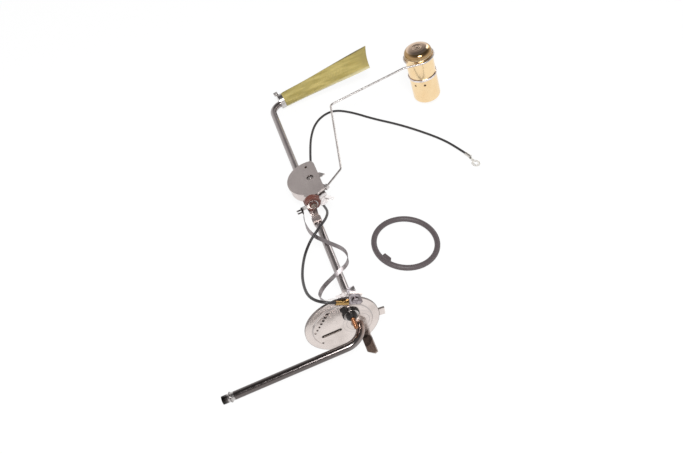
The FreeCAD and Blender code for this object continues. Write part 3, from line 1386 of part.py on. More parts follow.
foot = Vector(size("origin_to_flange_x"), size("origin_to_flange_y"), 0)
lean = Rotation(Vector(1, 0, 0), -size("lie_pitch")) * Rotation(Vector(0, 1, 0), -size("lie_roll"))
unit = [
    ("mounting_flange", make_flange()),
    ("fuel_tube", make_tube()),
    ("tube_braze_ring", make_braze_ring()),
    ("outer_insulator", make_outer_washer()),
    ("insulator_eyelet", make_eyelet()),
    ("insulator_dome", make_dome()),
    ("inner_insulator", make_inner_washer()),
    ("inner_terminal", make_tongue()),
    ("terminal_stud", make_stud()),
    ("stud_nut", make_stud_nut()),
    ("ground_plate", make_ground_plate()),
    ("ground_crimp", make_crimp()),
    ("ground_rivet", make_rim_rivet()),
    ("tube_clamp", make_tube_clamp()),
    ("clamp_screw", make_clamp_screw()),
    ("clamp_nut", make_clamp_nut()),
    ("sender_case", make_case()),
    ("sender_cover", make_cover()),
    ("sender_bracket", make_bracket()),
    ("case_rivets", make_case_rivets()),
    ("lower_tube_band", make_band("lower_band", f"({END_WALL} - bracket_tongue + 1)", True)),
    ("upper_tube_band", make_band("upper_band", "(pivot_y + 6)", False)),
    ("resistor_card", make_card()),
    ("resistor_winding", make_winding()),
    ("pivot_bush", make_bush()),
    ("pivot_shaft", make_shaft()),
    ("rotor_lever", make_lever()),
    ("wiper_spring", make_wiper()),
    ("terminal_block", make_terminal_block()),
    ("terminal_rivet", make_terminal_rivet()),
    ("contact_clip", make_contact_clip()),
    ("side_clip", make_side_clip()),
    ("contact_strap", make_strap()),
    ("float_arm", make_arm()),
    ("float_upper_shell", make_upper_shell()),
    ("float_lower_shell", make_lower_shell()),
    ("float_band", make_float_band()),
    ("strainer_sleeve", make_sleeve()),
    ("strainer_collar", make_collar()),
]
doc.recompute()

# The unit rests on its lowest point
lowest = 0.0
for label, item in unit:
    lying = item.Shape.copy()
    lying.Placement = Placement(Vector(), lean).multiply(lying.Placement)
    lowest = min(lowest, lying.optimalBoundingBox(False).ZMin)
lying_placement = Placement(foot - Vector(0, 0, lowest), lean)
for label, item in unit:
    piece(label, item, lying_placement)

piece("ground_lead", make_lead(foot), Placement())
piece("ring_terminal", make_ring_terminal(foot), Placement())
seal, seal_placement = make_seal(foot)
piece("flange_seal", seal, seal_placement)
doc.recompute()

start, heading = crimp_frame()
exit_place = lying_placement.multVec(start + heading * (size("crimp_length") - size("lead_entry"))) - foot
print("flange height", round(-lowest, 3), "crimp floor from foot", [round(v, 2) for v in exit_place],
      "heading", [round(v, 3) for v in lean.multVec(heading)])

for item in doc.Objects:
    if "Invalid" in item.State or "Error" in item.State:
        raise ValueError(f"{item.Name} did not build: {item.State}")
for item in pieces:
    if item.Shape.isNull() or not item.Shape.isValid() or not item.Shape.Solids:
        raise ValueError(f"{item.Label} is not a valid solid")

os.makedirs("parts", exist_ok=True)
for item in pieces:
    item.Shape.exportStep(f"parts/{item.Label}.step")
    bounds = item.Shape.BoundBox
    print(f"{item.Label:20s} solids {len(item.Shape.Solids)} volume {item.Shape.Volume:9.1f}",
          f"x {bounds.XMin:7.1f} {bounds.XMax:7.1f} y {bounds.YMin:7.1f} {bounds.YMax:7.1f}",
          f"z {bounds.ZMin:6.1f} {bounds.ZMax:6.1f}")
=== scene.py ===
import math

import bpy
from mathutils import Matrix, Vector, noise


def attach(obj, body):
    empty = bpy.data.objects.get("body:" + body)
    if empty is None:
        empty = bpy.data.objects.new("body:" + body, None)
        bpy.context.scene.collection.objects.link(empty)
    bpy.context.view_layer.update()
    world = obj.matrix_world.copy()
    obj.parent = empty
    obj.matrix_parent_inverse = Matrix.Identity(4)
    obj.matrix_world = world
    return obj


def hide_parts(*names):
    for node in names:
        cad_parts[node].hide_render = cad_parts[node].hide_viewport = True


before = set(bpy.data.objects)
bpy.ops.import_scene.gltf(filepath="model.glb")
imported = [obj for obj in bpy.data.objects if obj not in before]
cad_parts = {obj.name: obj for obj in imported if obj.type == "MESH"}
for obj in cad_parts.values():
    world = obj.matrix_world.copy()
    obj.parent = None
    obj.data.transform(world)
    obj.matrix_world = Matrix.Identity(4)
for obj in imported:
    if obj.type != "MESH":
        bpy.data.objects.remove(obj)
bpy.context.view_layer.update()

# Looks of a fuel tank sending unit, lying on its tube and float, with its flange seal beside it.
# Lengths are in metres, except in the unit's own frame, which is in millimetres.

MILLIMETRE = 0.001

# How the unit lies: the floor under the middle of its flange, the flange's height, and its two leans
FOOT = Vector((-0.0539, -0.1781, 0.0))
FLANGE_HEIGHT = 0.035537
ROLL = math.radians(14.422)
PITCH = math.radians(5.153)

# The unit's own frame: x to the strainer's side, y along the tube, z along the arm's axis
SIDEWAYS = Vector((1, 0, 0))
ALONG_TUBE = Vector((0, 1, 0))
ALONG_AXIS = Vector((0, 0, 1))
LEAN = Matrix.Rotation(-PITCH, 4, "X") @ Matrix.Rotation(-ROLL, 4, "Y")
UNIT = Matrix.Translation(FOOT + Vector((0, 0, FLANGE_HEIGHT))) @ LEAN @ Matrix.Scale(MILLIMETRE, 4)

CAMERA_PLACE = FOOT + Vector((-0.1047, -0.3408, 0.5830))
CAMERA_HEADING = Vector((0.1905, 0.6266, -0.7559))
CAMERA_LENS = 37.34
CAMERA_SENSOR = 36.0

# The room: its soft light, and how grey its reflections are by the sine of the height, up to straight above
ROOM_LIGHT = 0.45
CEILING = [(0.30, 0.95), (0.50, 0.46), (0.62, 0.28), (0.78, 0.13)]
CEILING_TINT = 0.97
OVERHEAD = (0.12, 0.115, 0.115, 1)
WHITE = (1, 1, 1, 1)

# The floor: how far it reaches from the middle, how far it lies below the object, and how white it shows
FLOOR_REACH = 4.0
FLOOR_DROP = 0.0002
FLOOR_COLOUR = (0.86, 0.86, 0.86, 1)
FLOOR_ROUGHNESS = 0.9
FLOOR_WHITE = 1.04
FLOOR_GLOW = 0.86

# The lead's route seen from the flange's foot, in metres, with the same points as the solid
LEAD_ROUTE = [
    (0.00032, 0.0009, 0.06829),
    (-0.01287, 0.00132, 0.07297),
    (-0.0224, 0.0090, 0.0700),
    (-0.0260, 0.0220, 0.0620),
    (-0.0254, 0.0390, 0.0520),
    (-0.0223, 0.0594, 0.0410),
    (-0.0163, 0.0809, 0.0310),
    (-0.0098, 0.0970, 0.0270),
    (-0.0018, 0.1075, 0.0310),
    (0.0055, 0.1126, 0.0360),
    (0.0127, 0.1189, 0.0380),
    (0.0213, 0.1288, 0.0355),
    (0.0284, 0.1463, 0.0255),
    (0.0294, 0.1666, 0.0135),
    (0.0276, 0.1867, 0.0040),
    (0.0280, 0.2040, 0.0015),
    (0.0310, 0.2210, 0.0015),
    (0.0355, 0.2450, 0.0015),
    (0.0415, 0.2690, 0.0015),
    (0.0480, 0.2900, 0.0015),
    (0.0580, 0.3105, 0.0015),
    (0.0720, 0.3250, 0.0015),
    (0.0900, 0.3315, 0.0015),
    (0.1100, 0.3210, 0.0015),
    (0.1315, 0.3015, 0.0015),
    (0.1580, 0.2825, 0.0015),
    (0.1820, 0.2605, 0.0015),
    (0.2020, 0.2385, 0.0015),
    (0.2135, 0.2175, 0.0017),
    (0.2196, 0.2036, 0.0022),
]
LEAD_DIAMETER = 0.0028
LEAD_ROUND_STEPS = 6
LEAD_CURVE_STEPS = 12

# The strainer sleeve: where it starts, how it lies, and its half sizes at the neck and at the sealed end
PICKUP_TILT = math.radians(7.4)
PICKUP_ALONG = Vector((math.cos(PICKUP_TILT), math.sin(PICKUP_TILT), 0))
PICKUP_ASIDE = Vector((-PICKUP_ALONG.y, PICKUP_ALONG.x, 0))
PICKUP_CORNER = Vector((14.2, 356, 0))
PICKUP_LEG = 13
PICKUP_START = PICKUP_CORNER + PICKUP_LEG * PICKUP_ALONG
SLEEVE_TURN = math.radians(45)
SLEEVE_FLAT = PICKUP_ASIDE * math.cos(SLEEVE_TURN) + ALONG_AXIS * math.sin(SLEEVE_TURN)
SLEEVE_NECK = 8.5
SLEEVE_FULL = 9.2
SLEEVE_WIDE = 13.8
SLEEVE_THIN = 0.8
SLEEVE_LENGTH = 131
SLEEVE_COLLAR = 5
SLEEVE_SLANT = 4
SLEEVE_LEAST_REACH = 0.6
SLEEVE_ROWS = 72
SLEEVE_COLUMNS = 120

# The sleeve's shape and folds. Those called FROM, OVER or UNTIL are shares of its length.
OPENING_LENGTH = 4
WIDENING_POWER = 1.15
FLATTEN_FROM = 0.12
FLATTEN_OVER = 0.85
FOLD_DEPTH = 0.55
FOLDS_ALONG = 3.0
FOLDS_ROUND = 1.6
FOLD_OVER = 0.15
FOLD_FADES_FROM = 0.9
FOLD_FADES_BY = 0.7
FOLD_SIDE_SHARE = 0.3
PLEAT_COUNT = 9
PLEAT_SWAY = 2.5
PLEAT_DEPTH = 0.22
PLEAT_RISE = 6
PLEAT_UNTIL = 0.22
SCALLOP_DEPTH = 1.6
SCALLOP_FROM = 0.86

# The sleeve's seam, darkened with painted shade, and its pale hem: how far they stop before its end, and
# how far out they run
SEAM_STOPS_BEFORE = 3
SEAM_OUT_AT_END = 0.2
HEM_OUT_AT_START = 0.4
HEM_OUT_AT_END = 1

# The float, centred level with its wire: the radius, the seam, the straight wall, the groove and the lip
FLOAT_CENTRE = Vector((205.5, 324, 7))
FLOAT_RADIUS = 17.2
FLOAT_SEAM = 26
SEAM_ROUND = 0.2
WALL_BOTTOM = 1 - FLOAT_SEAM
WALL_TOP = -2
WIRE_GROOVE = 1.35
GROOVE_OFFSET = 1.2
GROOVE_STEPS = 8
LIP_RISE = 0.22
LIP_HEIGHTS = [(0, 3.2), (LIP_RISE, 3.7), (LIP_RISE, 4.3), (0, 4.8)]

# The float's crown, as a quarter of an ellipse, and the pressed rings on it as radius and height
CROWN_FOOT = 5.2
CROWN_REACH = 9.6
CROWN_HEIGHT = 7.2
CROWN_STEPS = 24
CROWN_RINGS = [(6.6, 0.2), (5.7, 0.3), (5.3, 0), (4.7, -0.1), (4.3, 0.2),
               (3.4, 0.35), (2.9, 0.1), (2.3, 0.1), (1.8, 0.4), (0.8, 0.5)]

# The soldered band over the float's seam, and the steps of a turned mesh
BAND_CLEARANCE = 0.05
BAND_RISE = 1.1
BAND_TALL = 3
BAND_ROUND = 0.5
BAND_STEPS = 6
LATHE_SEGMENTS = 96

# The threaded stud, from its outer end inwards
STUD_PLACE = Vector((11.0, -19.0, 12.4))
STUD_RADIUS = 2.0
STUD_LENGTH = 30
STUD_CHAMFER = 0.6
THREAD_PITCH = 0.8
THREAD_DEPTH = 0.28
THREAD_STEPS = 8
THREAD_SEGMENTS = 32

# The flange: its rim and step, the two rings around its tube, its bent tab, its rib and its stamped marks;
# all but the marks are drawn in painted shade
FLANGE_CENTRE = Vector((0, 0, 0))
FLANGE_RIM = 35.5
FLANGE_STEP = 28.4
TUBE_SEAT = Vector((14.2, -1.5, -3))
SEAT_INNER_RING = 11.0
SEAT_OUTER_RING = 14.5
TAB_MIDDLE = Vector((16.5, -17, -33.5))
TAB_BEND = Vector((14.9, -5, -32.5))
RIB_LEFT = Vector((-20.2, -1.2, -3.9))
RIB_RIGHT = Vector((-4.2, -1.2, -3.9))
MARK_FIRST = Vector((-8.3, -1.7, 24.6))
MARK_STEP = Vector((-2.9, 0, -3.25))
MARK_COUNT = 7
MARK_SIZE = 1.9
MARK_SHRINKS = 0.14
MARK_CORE = 0.6

# Places on the other pieces whose colour differs from the rest of the piece, several of them painted
# highlights, painted shadow and painted shade
TUBE_BEND = Vector((14.2, -6, -3))
OUTLET_MIDDLE = Vector((-70, -23, -3))
OUTLET_BEAD = Vector((-115.9, -23, -3))
OUTLET_MOUTH = Vector((-124.4, -23, -3))
RIM_RIVET = Vector((19.8, -1.4, 28.4))
SIDE_WALL = Vector((33, 157, 1.5))
CLAMP_PLACE = Vector((22, 31, 0.5))
PIVOT_PLACE = Vector((24.8, 188.2, 12.9))
CONTACT_JAW = Vector((2.5, 148, 9.4))
INNER_TERMINAL = Vector((9, 9, 23))
STRAP_END = Vector((1, 9, 23))
STUD_TIP = Vector((11, -14, 12.4))
BLOCK_FACE = Vector((16.9, 151.7, 9.4))
BLOCK_RIVET = Vector((16.9, 150.1, 9.4))
SOLDER_SPOT = Vector((201.0, 307.4, -26.5))
SOLDER_RUN = Vector((191.1, 314.6, -27))

scene = bpy.context.scene
scene.view_settings.view_transform = "Standard"


# Helpers for meshes

def keep(obj, body, material):
    """Links a new piece, shades it, and makes it ride on its body."""
    scene.collection.objects.link(obj)
    obj.data.materials.append(material)
    if obj.type == "MESH":
        obj.data.polygons.foreach_set("use_smooth", [True] * len(obj.data.polygons))
    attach(obj, body)


def mesh_object(name, vertices, faces):
    """A mesh object from points in the unit's own frame."""
    mesh = bpy.data.meshes.new(name)
    mesh.from_pydata([UNIT @ Vector(point) for point in vertices], [], faces)
    mesh.update()
    return bpy.data.objects.new(name, mesh)


def grid_faces(rows, columns):
    """Faces of a grid whose columns close on themselves, and the cap of its first row."""
    faces = []
    for row in range(rows - 1):
        for column in range(columns):
            after = (column + 1) % columns
            low = row * columns
            high = low + columns
            faces.append((low + column, low + after, high + after, high + column))
    faces.append(tuple(reversed(range(columns))))
    return faces


def closed_faces(rows, columns):
    """The same faces with the last row's cap too."""
    last = (rows - 1) * columns
    return grid_faces(rows, columns) + [tuple(range(last, last + columns))]


def lathe(name, profile, centre):
    """A mesh turned about the arm's axis from (radius, height) pairs, closed at its first and last."""
    vertices = []
    for radius, height in profile:
        for number in range(LATHE_SEGMENTS):
            turn = 2 * math.pi * number / LATHE_SEGMENTS
            outward = Vector((math.cos(turn), math.sin(turn), 0))
            vertices.append(centre + outward * radius + ALONG_AXIS * height)
    return mesh_object(name, vertices, closed_faces(len(profile), LATHE_SEGMENTS))


def threaded_rod(name, start, radius, length, pitch):
    """A rod along the tube's direction with a fine helical thread, its two ends chamfered."""
    step = pitch / THREAD_STEPS
    rows = int(length / step) + 1
    vertices = []
    for row in range(rows):
        height = row * step
        from_end = min(height, length - height)
        chamfer = max(0.0, STUD_CHAMFER - from_end)
        for number in range(THREAD_SEGMENTS):
            turn = number / THREAD_SEGMENTS
            phase = (height / pitch + turn) % 1.0
            notch = THREAD_DEPTH * abs(2 * phase - 1)
            outward = Vector((math.cos(2 * math.pi * turn), 0, math.sin(2 * math.pi * turn)))
            vertices.append(start + outward * (radius - notch - chamfer) + ALONG_TUBE * height)
    return mesh_object(name, vertices, closed_faces(rows, THREAD_SEGMENTS))


# Helpers for materials. A corner is measured by how much of its surroundings it sees, from 0 to 1, and deep
# corners get painted shade.

CORNER_SAMPLES = 6
CORNER_OPEN = 0.75
CORNER_DEEP = 0.25
NOISE_LOW = 0.25
NOISE_HIGH = 0.75


class Shader:
    """A Principled material painted in layers, whose places are in the unit's own frame."""

    def __init__(self, name, colour, roughness, metallic=0.0):
        self.material = bpy.data.materials.new(name)
        self.material.use_nodes = True
        self.material.diffuse_color = (*colour, 1.0)
        self.tree = self.material.node_tree
        self.nodes = self.tree.nodes
        self.bsdf = self.nodes["Principled BSDF"]
        self.bsdf.inputs["Base Color"].default_value = (*colour, 1.0)
        self.bsdf.inputs["Roughness"].default_value = roughness
        self.bsdf.inputs["Metallic"].default_value = metallic
        self.colour = self.constant_colour(colour)
        self.relief = None
        coordinates = self.nodes.new("ShaderNodeTexCoord")
        place = self.nodes.new("ShaderNodeMapping")
        place.vector_type = "TEXTURE"
        place.inputs["Location"].default_value = UNIT.translation
        place.inputs["Rotation"].default_value = LEAN.to_euler()
        place.inputs["Scale"].default_value = (MILLIMETRE, MILLIMETRE, MILLIMETRE)
        self.link(coordinates.outputs["Object"], place.inputs["Vector"])
        self.place = place.outputs["Vector"]

    def link(self, output, socket):
        """Joins one node's output to another's input."""
        self.tree.links.new(output, socket)

    def constant_colour(self, colour):
        """A plain colour as a socket, which the first layer is laid over."""
        node = self.nodes.new("ShaderNodeRGB")
        node.outputs[0].default_value = (*colour, 1.0)
        return node.outputs[0]

    def maths(self, operation, first, second=0.0):
        """The result of an operation on a socket and another socket or a plain number."""
        node = self.nodes.new("ShaderNodeMath")
        node.operation = operation
        self.link(first, node.inputs[0])
        if isinstance(second, float):
            node.inputs[1].default_value = second
        else:
            self.link(second, node.inputs[1])
        return node.outputs[0]

    def vector_maths(self, operation, vector, constant):
        """The node of an operation on a vector socket and a constant vector."""
        node = self.nodes.new("ShaderNodeVectorMath")
        node.operation = operation
        node.inputs[1].default_value = constant
        self.link(vector, node.inputs[0])
        return node

    def noise(self, scale, detail, stretch=(1, 1, 1)):
        """Noise whose grains are about 1/scale millimetres wide."""
        node = self.nodes.new("ShaderNodeTexNoise")
        node.inputs["Scale"].default_value = scale
        node.inputs["Detail"].default_value = detail
        stretched = self.vector_maths("MULTIPLY", self.place, stretch)
        self.link(stretched.outputs[0], node.inputs["Vector"])
        return node.outputs["Fac"]

    def bands(self, scale, direction):
        """Straight bands of light and dark across a direction."""
        node = self.nodes.new("ShaderNodeTexWave")
        node.wave_type = "BANDS"
        node.bands_direction = direction
        node.inputs["Scale"].default_value = scale
        self.link(self.place, node.inputs["Vector"])
        return node.outputs["Fac"]

    def ramp(self, factor, low, high, from_value=0.0, to_value=1.0):
        """A factor's range from low to high, brought to the range of the two values and held there."""
        node = self.nodes.new("ShaderNodeMapRange")
        node.inputs["From Min"].default_value = low
        node.inputs["From Max"].default_value = high
        node.inputs["To Min"].default_value = from_value
        node.inputs["To Max"].default_value = to_value
        self.link(factor, node.inputs["Value"])
        return node.outputs["Result"]

    def distance(self, centre):
        """Millimetres from a place."""
        return self.vector_maths("DISTANCE", self.place, centre).outputs["Value"]

    def near(self, centre, inner, outer):
        """1 within the inner distance of a place, 0 beyond the outer one."""
        return self.ramp(self.distance(centre), outer, inner)

    def ring(self, centre, radius, half_width):
        """1 on a sphere's skin about a place, 0 away from it: a ring on a flat face."""
        away = self.maths("SUBTRACT", self.distance(centre), radius)
        return self.ramp(self.maths("ABSOLUTE", away), half_width, 0.0)

    def along_line(self, first, last, inner, outer):
        """1 within the inner distance of a straight line between two places, 0 beyond the outer one."""
        length = (last - first).length
        heading = (last - first) / length
        offset = self.vector_maths("SUBTRACT", self.place, first).outputs[0]
        reach = self.vector_maths("DOT_PRODUCT", offset, heading).outputs["Value"]
        kept = self.nodes.new("ShaderNodeClamp")
        kept.inputs["Max"].default_value = length
        self.link(reach, kept.inputs["Value"])
        nearest = self.nodes.new("ShaderNodeVectorMath")
        nearest.operation = "SCALE"
        nearest.inputs[0].default_value = heading
        self.link(kept.outputs["Result"], nearest.inputs["Scale"])
        apart = self.nodes.new("ShaderNodeVectorMath")
        apart.operation = "DISTANCE"
        self.link(offset, apart.inputs[0])
        self.link(nearest.outputs[0], apart.inputs[1])
        return self.ramp(apart.outputs["Value"], outer, inner)

    def level(self, low, high, soft):
        """1 between two heights along the arm's axis, 0 beyond them."""
        node = self.nodes.new("ShaderNodeSeparateXYZ")
        self.link(self.place, node.inputs[0])
        above = self.ramp(node.outputs["Z"], low - soft, low)
        below = self.ramp(node.outputs["Z"], high + soft, high)
        return self.maths("MULTIPLY", above, below)

    def paint(self, factor, colour):
        """Lays a colour over what is there."""
        node = self.nodes.new("ShaderNodeMix")
        node.data_type = "RGBA"
        self.link(factor, node.inputs["Factor"])
        self.link(self.colour, node.inputs["A"])
        node.inputs["B"].default_value = (*colour, 1.0)
        self.colour = node.outputs["Result"]
        self.link(self.colour, self.bsdf.inputs["Base Color"])

    def blotches(self, colour, scale, start, full, detail=4, strength=1.0, stretch=(1, 1, 1), within=None):
        """Lays a colour in soft patches, everywhere or only within an area."""
        factor = self.ramp(self.noise(scale, detail, stretch), start, full, 0.0, strength)
        if within is not None:
            factor = self.maths("MULTIPLY", within, factor)
        self.paint(factor, colour)

    def corners(self, colour, distance):
        """Lays a colour deep in the corners as painted shade, within a distance in metres."""
        node = self.nodes.new("ShaderNodeAmbientOcclusion")
        node.inputs["Distance"].default_value = distance
        node.samples = CORNER_SAMPLES
        self.paint(self.ramp(node.outputs["AO"], CORNER_OPEN, CORNER_DEEP), colour)

    def dull(self, factor):
        """Takes the metal out of an area, so that a pale painted highlight laid there shows matte."""
        self.link(self.ramp(factor, 0.0, 1.0, 1.0, 0.0), self.bsdf.inputs["Metallic"])

    def wear(self, smoothest, roughest, scale, detail=3, stretch=(1, 1, 1)):
        """Roughness that differs from place to place."""
        factor = self.ramp(self.noise(scale, detail, stretch), NOISE_LOW, NOISE_HIGH, smoothest, roughest)
        self.link(factor, self.bsdf.inputs["Roughness"])

    def bump(self, factor, depth):
        """A relief of so many millimetres, on top of the ones before it."""
        node = self.nodes.new("ShaderNodeBump")
        node.inputs["Strength"].default_value = 1.0
        node.inputs["Distance"].default_value = depth * MILLIMETRE
        self.link(factor, node.inputs["Height"])
        if self.relief is not None:
            self.link(self.relief, node.inputs["Normal"])
        self.relief = node.outputs["Normal"]
        self.link(self.relief, self.bsdf.inputs["Normal"])

    def grain(self, depth, scale, detail=3, stretch=(1, 1, 1)):
        """A relief of fine grains."""
        self.bump(self.noise(scale, detail, stretch), depth)


def plated_disc_steel():
    """Grey zinc plate with faint blotches, its rim and pressed rings outlined in painted shade, dark marks,
    a bent tab darkened brown with painted shade and darkest at its bend, a rib drawn as a groove of painted
    shade, and painted shade in its corners.
    """
    shader = Shader("plated_disc_steel", (0.74, 0.665, 0.63), roughness=0.30, metallic=1.0)
    shader.blotches((0.62, 0.55, 0.515), scale=0.05, start=0.44, full=0.72, detail=3)
    shader.blotches((0.60, 0.55, 0.53), scale=0.25, start=0.60, full=0.75, detail=3, strength=0.5)
    # painted shade: dark lines along the flange's step, its rim and the two rings around its tube
    shader.paint(shader.ring(FLANGE_CENTRE, radius=FLANGE_STEP, half_width=0.7), (0.42, 0.39, 0.38))
    shader.paint(shader.ring(FLANGE_CENTRE, radius=FLANGE_RIM, half_width=0.5), (0.22, 0.19, 0.18))
    shader.paint(shader.ring(TUBE_SEAT, radius=SEAT_INNER_RING, half_width=0.5), (0.45, 0.41, 0.40))
    shader.paint(shader.ring(TUBE_SEAT, radius=SEAT_OUTER_RING, half_width=0.4), (0.50, 0.46, 0.45))
    # painted shade on the bent tab: brown, and darkest where it bends
    shader.paint(shader.near(TAB_MIDDLE, inner=13.5, outer=14.5), (0.30, 0.235, 0.20))
    shader.paint(shader.near(TAB_BEND, inner=5.5, outer=6.5), (0.11, 0.085, 0.075))
    # painted shade: the rib drawn as a dark groove
    shader.paint(shader.along_line(RIB_LEFT, RIB_RIGHT, inner=1.75, outer=2.2), (0.045, 0.035, 0.03))
    for number in range(MARK_COUNT):
        mark = MARK_FIRST + MARK_STEP * number
        reach = MARK_SIZE - MARK_SHRINKS * number
        shader.paint(shader.near(mark, inner=MARK_CORE * reach, outer=reach), (0.04, 0.03, 0.028))
    # painted shade in the corners
    shader.corners((0.20, 0.18, 0.17), distance=0.003)
    shader.wear(smoothest=0.20, roughest=0.34, scale=0.10)
    shader.grain(depth=0.012, scale=0.9, detail=2)
    return shader.material


def tube_steel():
    """Warm grey tube, copper-tinted at its bend, with a painted dark reflection along its outlet, a painted
    highlight at its bead and painted shadow in its mouth.
    """
    shader = Shader("tube_steel", (0.40, 0.365, 0.36), roughness=0.24, metallic=1.0)
    shader.blotches((0.31, 0.28, 0.275), scale=0.05, start=0.35, full=0.70)
    shader.paint(shader.near(TUBE_BEND, inner=8, outer=20), (0.36, 0.26, 0.22))
    # painted dark reflection: the tube's colour made darker along its outlet
    shader.paint(shader.near(OUTLET_MIDDLE, inner=66, outer=88), (0.145, 0.128, 0.124))
    shader.blotches((0.40, 0.33, 0.28), scale=0.3, start=0.60, full=0.80, strength=0.3)
    # painted highlight: the bright ring at the outlet's bead
    shader.paint(shader.near(OUTLET_BEAD, inner=4.8, outer=5.2), (0.52, 0.50, 0.49))
    # painted shadow inside the outlet's open mouth
    shader.paint(shader.near(OUTLET_MOUTH, inner=4.6, outer=6.4), (0.03, 0.028, 0.026))
    shader.wear(smoothest=0.11, roughest=0.24, scale=0.25, detail=4)
    shader.grain(depth=0.02, scale=1.4, stretch=(1, 0.15, 1))
    return shader.material


def sender_sheet_steel():
    """Satin sheet steel of the housing, brushed one way, with painted highlights that make it pale and
    matte at its side wall and at the tube's clamp, painted shade around the pivot, and painted shade in its
    corners.
    """
    shader = Shader("sender_sheet_steel", (0.74, 0.67, 0.645), roughness=0.34, metallic=1.0)
    shader.blotches((0.66, 0.595, 0.575), scale=0.05, start=0.38, full=0.70, detail=3)
    shader.blotches((0.48, 0.43, 0.415), scale=1.1, start=0.52, full=0.66, detail=3, strength=0.35)
    # painted highlight: the side wall pale and matte where it shines
    wall_highlight = shader.near(SIDE_WALL, inner=10.5, outer=12)
    shader.paint(wall_highlight, (0.95, 0.91, 0.90))
    # painted highlight: pale and matte at the tube's clamp, with dark blotches within it
    clamp_highlight = shader.near(CLAMP_PLACE, inner=6.5, outer=7.5)
    shader.paint(clamp_highlight, (0.66, 0.62, 0.66))
    shader.blotches((0.30, 0.26, 0.27), scale=0.5, start=0.50, full=0.58, detail=3, within=clamp_highlight)
    shader.dull(shader.maths("MAXIMUM", wall_highlight, clamp_highlight))
    # painted shade: a dark ring around the pivot hole
    shader.paint(shader.ring(PIVOT_PLACE, radius=3.8, half_width=0.5), (0.30, 0.26, 0.24))
    # painted shade in the corners
    shader.corners((0.16, 0.14, 0.12), distance=0.003)
    shader.wear(smoothest=0.34, roughest=0.52, scale=0.8, stretch=(1, 0.1, 1))
    shader.grain(depth=0.015, scale=2.4, stretch=(1, 0.06, 1))
    return shader.material


def bright_steel():
    """Bright plated fasteners and clips, the contact's jaw dark, a painted highlight that makes the inner
    terminal pale and matte, and painted shade in the corners.
    """
    shader = Shader("bright_steel", (0.60, 0.575, 0.56), roughness=0.22, metallic=1.0)
    shader.blotches((0.42, 0.40, 0.39), scale=0.4, start=0.45, full=0.75)
    shader.paint(shader.near(CONTACT_JAW, inner=3.5, outer=5.5), (0.10, 0.085, 0.08))
    # painted highlight: the inner terminal pale and matte, with dark blotches within it
    terminal_highlight = shader.near(INNER_TERMINAL, inner=11, outer=13)
    shader.paint(terminal_highlight, (0.80, 0.75, 0.74))
    shader.blotches((0.40, 0.34, 0.33), scale=0.5, start=0.52, full=0.62, detail=3, within=terminal_highlight)
    shader.dull(terminal_highlight)
    # painted shade in the corners
    shader.corners((0.15, 0.14, 0.13), distance=0.0015)
    shader.wear(smoothest=0.14, roughest=0.34, scale=1.2)
    shader.grain(depth=0.008, scale=4.0, detail=2)
    return shader.material


def ground_plate_steel():
    """The ground terminal's plate: grey, mottled, with dark edges around its rivet."""
    shader = Shader("ground_plate_steel", (0.42, 0.375, 0.395), roughness=0.24, metallic=1.0)
    shader.blotches((0.20, 0.17, 0.18), scale=0.30, start=0.46, full=0.60)
    shader.paint(shader.ring(RIM_RIVET, radius=3.3, half_width=0.9), (0.10, 0.08, 0.08))
    shader.paint(shader.ring(RIM_RIVET, radius=9.5, half_width=1.8), (0.13, 0.11, 0.11))
    shader.wear(smoothest=0.16, roughest=0.36, scale=0.8)
    shader.grain(depth=0.25, scale=0.45)
    return shader.material


def arm_wire_steel():
    """Drawn wire with a fine lengthwise grain and a warm cast."""
    shader = Shader("arm_wire_steel", (0.66, 0.625, 0.61), roughness=0.26, metallic=1.0)
    shader.blotches((0.50, 0.46, 0.445), scale=0.2, start=0.42, full=0.72)
    shader.wear(smoothest=0.22, roughest=0.42, scale=0.7)
    shader.grain(depth=0.012, scale=3.0)
    return shader.material


def float_brass():
    """Polished sheet brass with faint spinning lines, spots of tarnish, and painted reflections at its
    crown: dark bands and a pale top.
    """
    shader = Shader("float_brass", (0.93, 0.71, 0.43), roughness=0.16, metallic=1.0)
    shader.blotches((0.88, 0.63, 0.35), scale=0.07, start=0.42, full=0.75, detail=5, stretch=(1, 1, 0.5))
    shader.blotches((0.35, 0.22, 0.09), scale=0.9, start=0.66, full=0.74, strength=0.7)
    # painted reflections on the crown: a dark band, a pale top and a dark line at its foot
    shader.paint(shader.level(low=12.8, high=17.6, soft=0.9), (0.40, 0.255, 0.12))
    shader.paint(shader.level(low=18.4, high=24.0, soft=0.6), (0.74, 0.56, 0.42))
    shader.paint(shader.level(low=11.5, high=12.0, soft=0.3), (0.12, 0.07, 0.04))
    shader.paint(shader.near(SOLDER_SPOT, inner=1.1, outer=1.9), (0.09, 0.05, 0.03))
    shader.paint(shader.near(SOLDER_RUN, inner=1.0, outer=1.8), (0.16, 0.09, 0.04))
    shader.wear(smoothest=0.08, roughest=0.22, scale=0.35, detail=4)
    shader.grain(depth=0.006, scale=1.2, stretch=(0.1, 0.1, 2.0))
    return shader.material


def worn_brass():
    """Duller brass of the stud, crimp and bush, reddish at the stud's tip."""
    shader = Shader("worn_brass", (0.52, 0.34, 0.13), roughness=0.30, metallic=1.0)
    shader.blotches((0.38, 0.20, 0.08), scale=0.5, start=0.42, full=0.72)
    shader.paint(shader.near(STUD_TIP, inner=7, outer=9), (0.34, 0.15, 0.075))
    # painted shade in the corners
    shader.corners((0.12, 0.07, 0.03), distance=0.001)
    shader.wear(smoothest=0.22, roughest=0.46, scale=1.2)
    shader.grain(depth=0.01, scale=3.0, detail=2)
    return shader.material


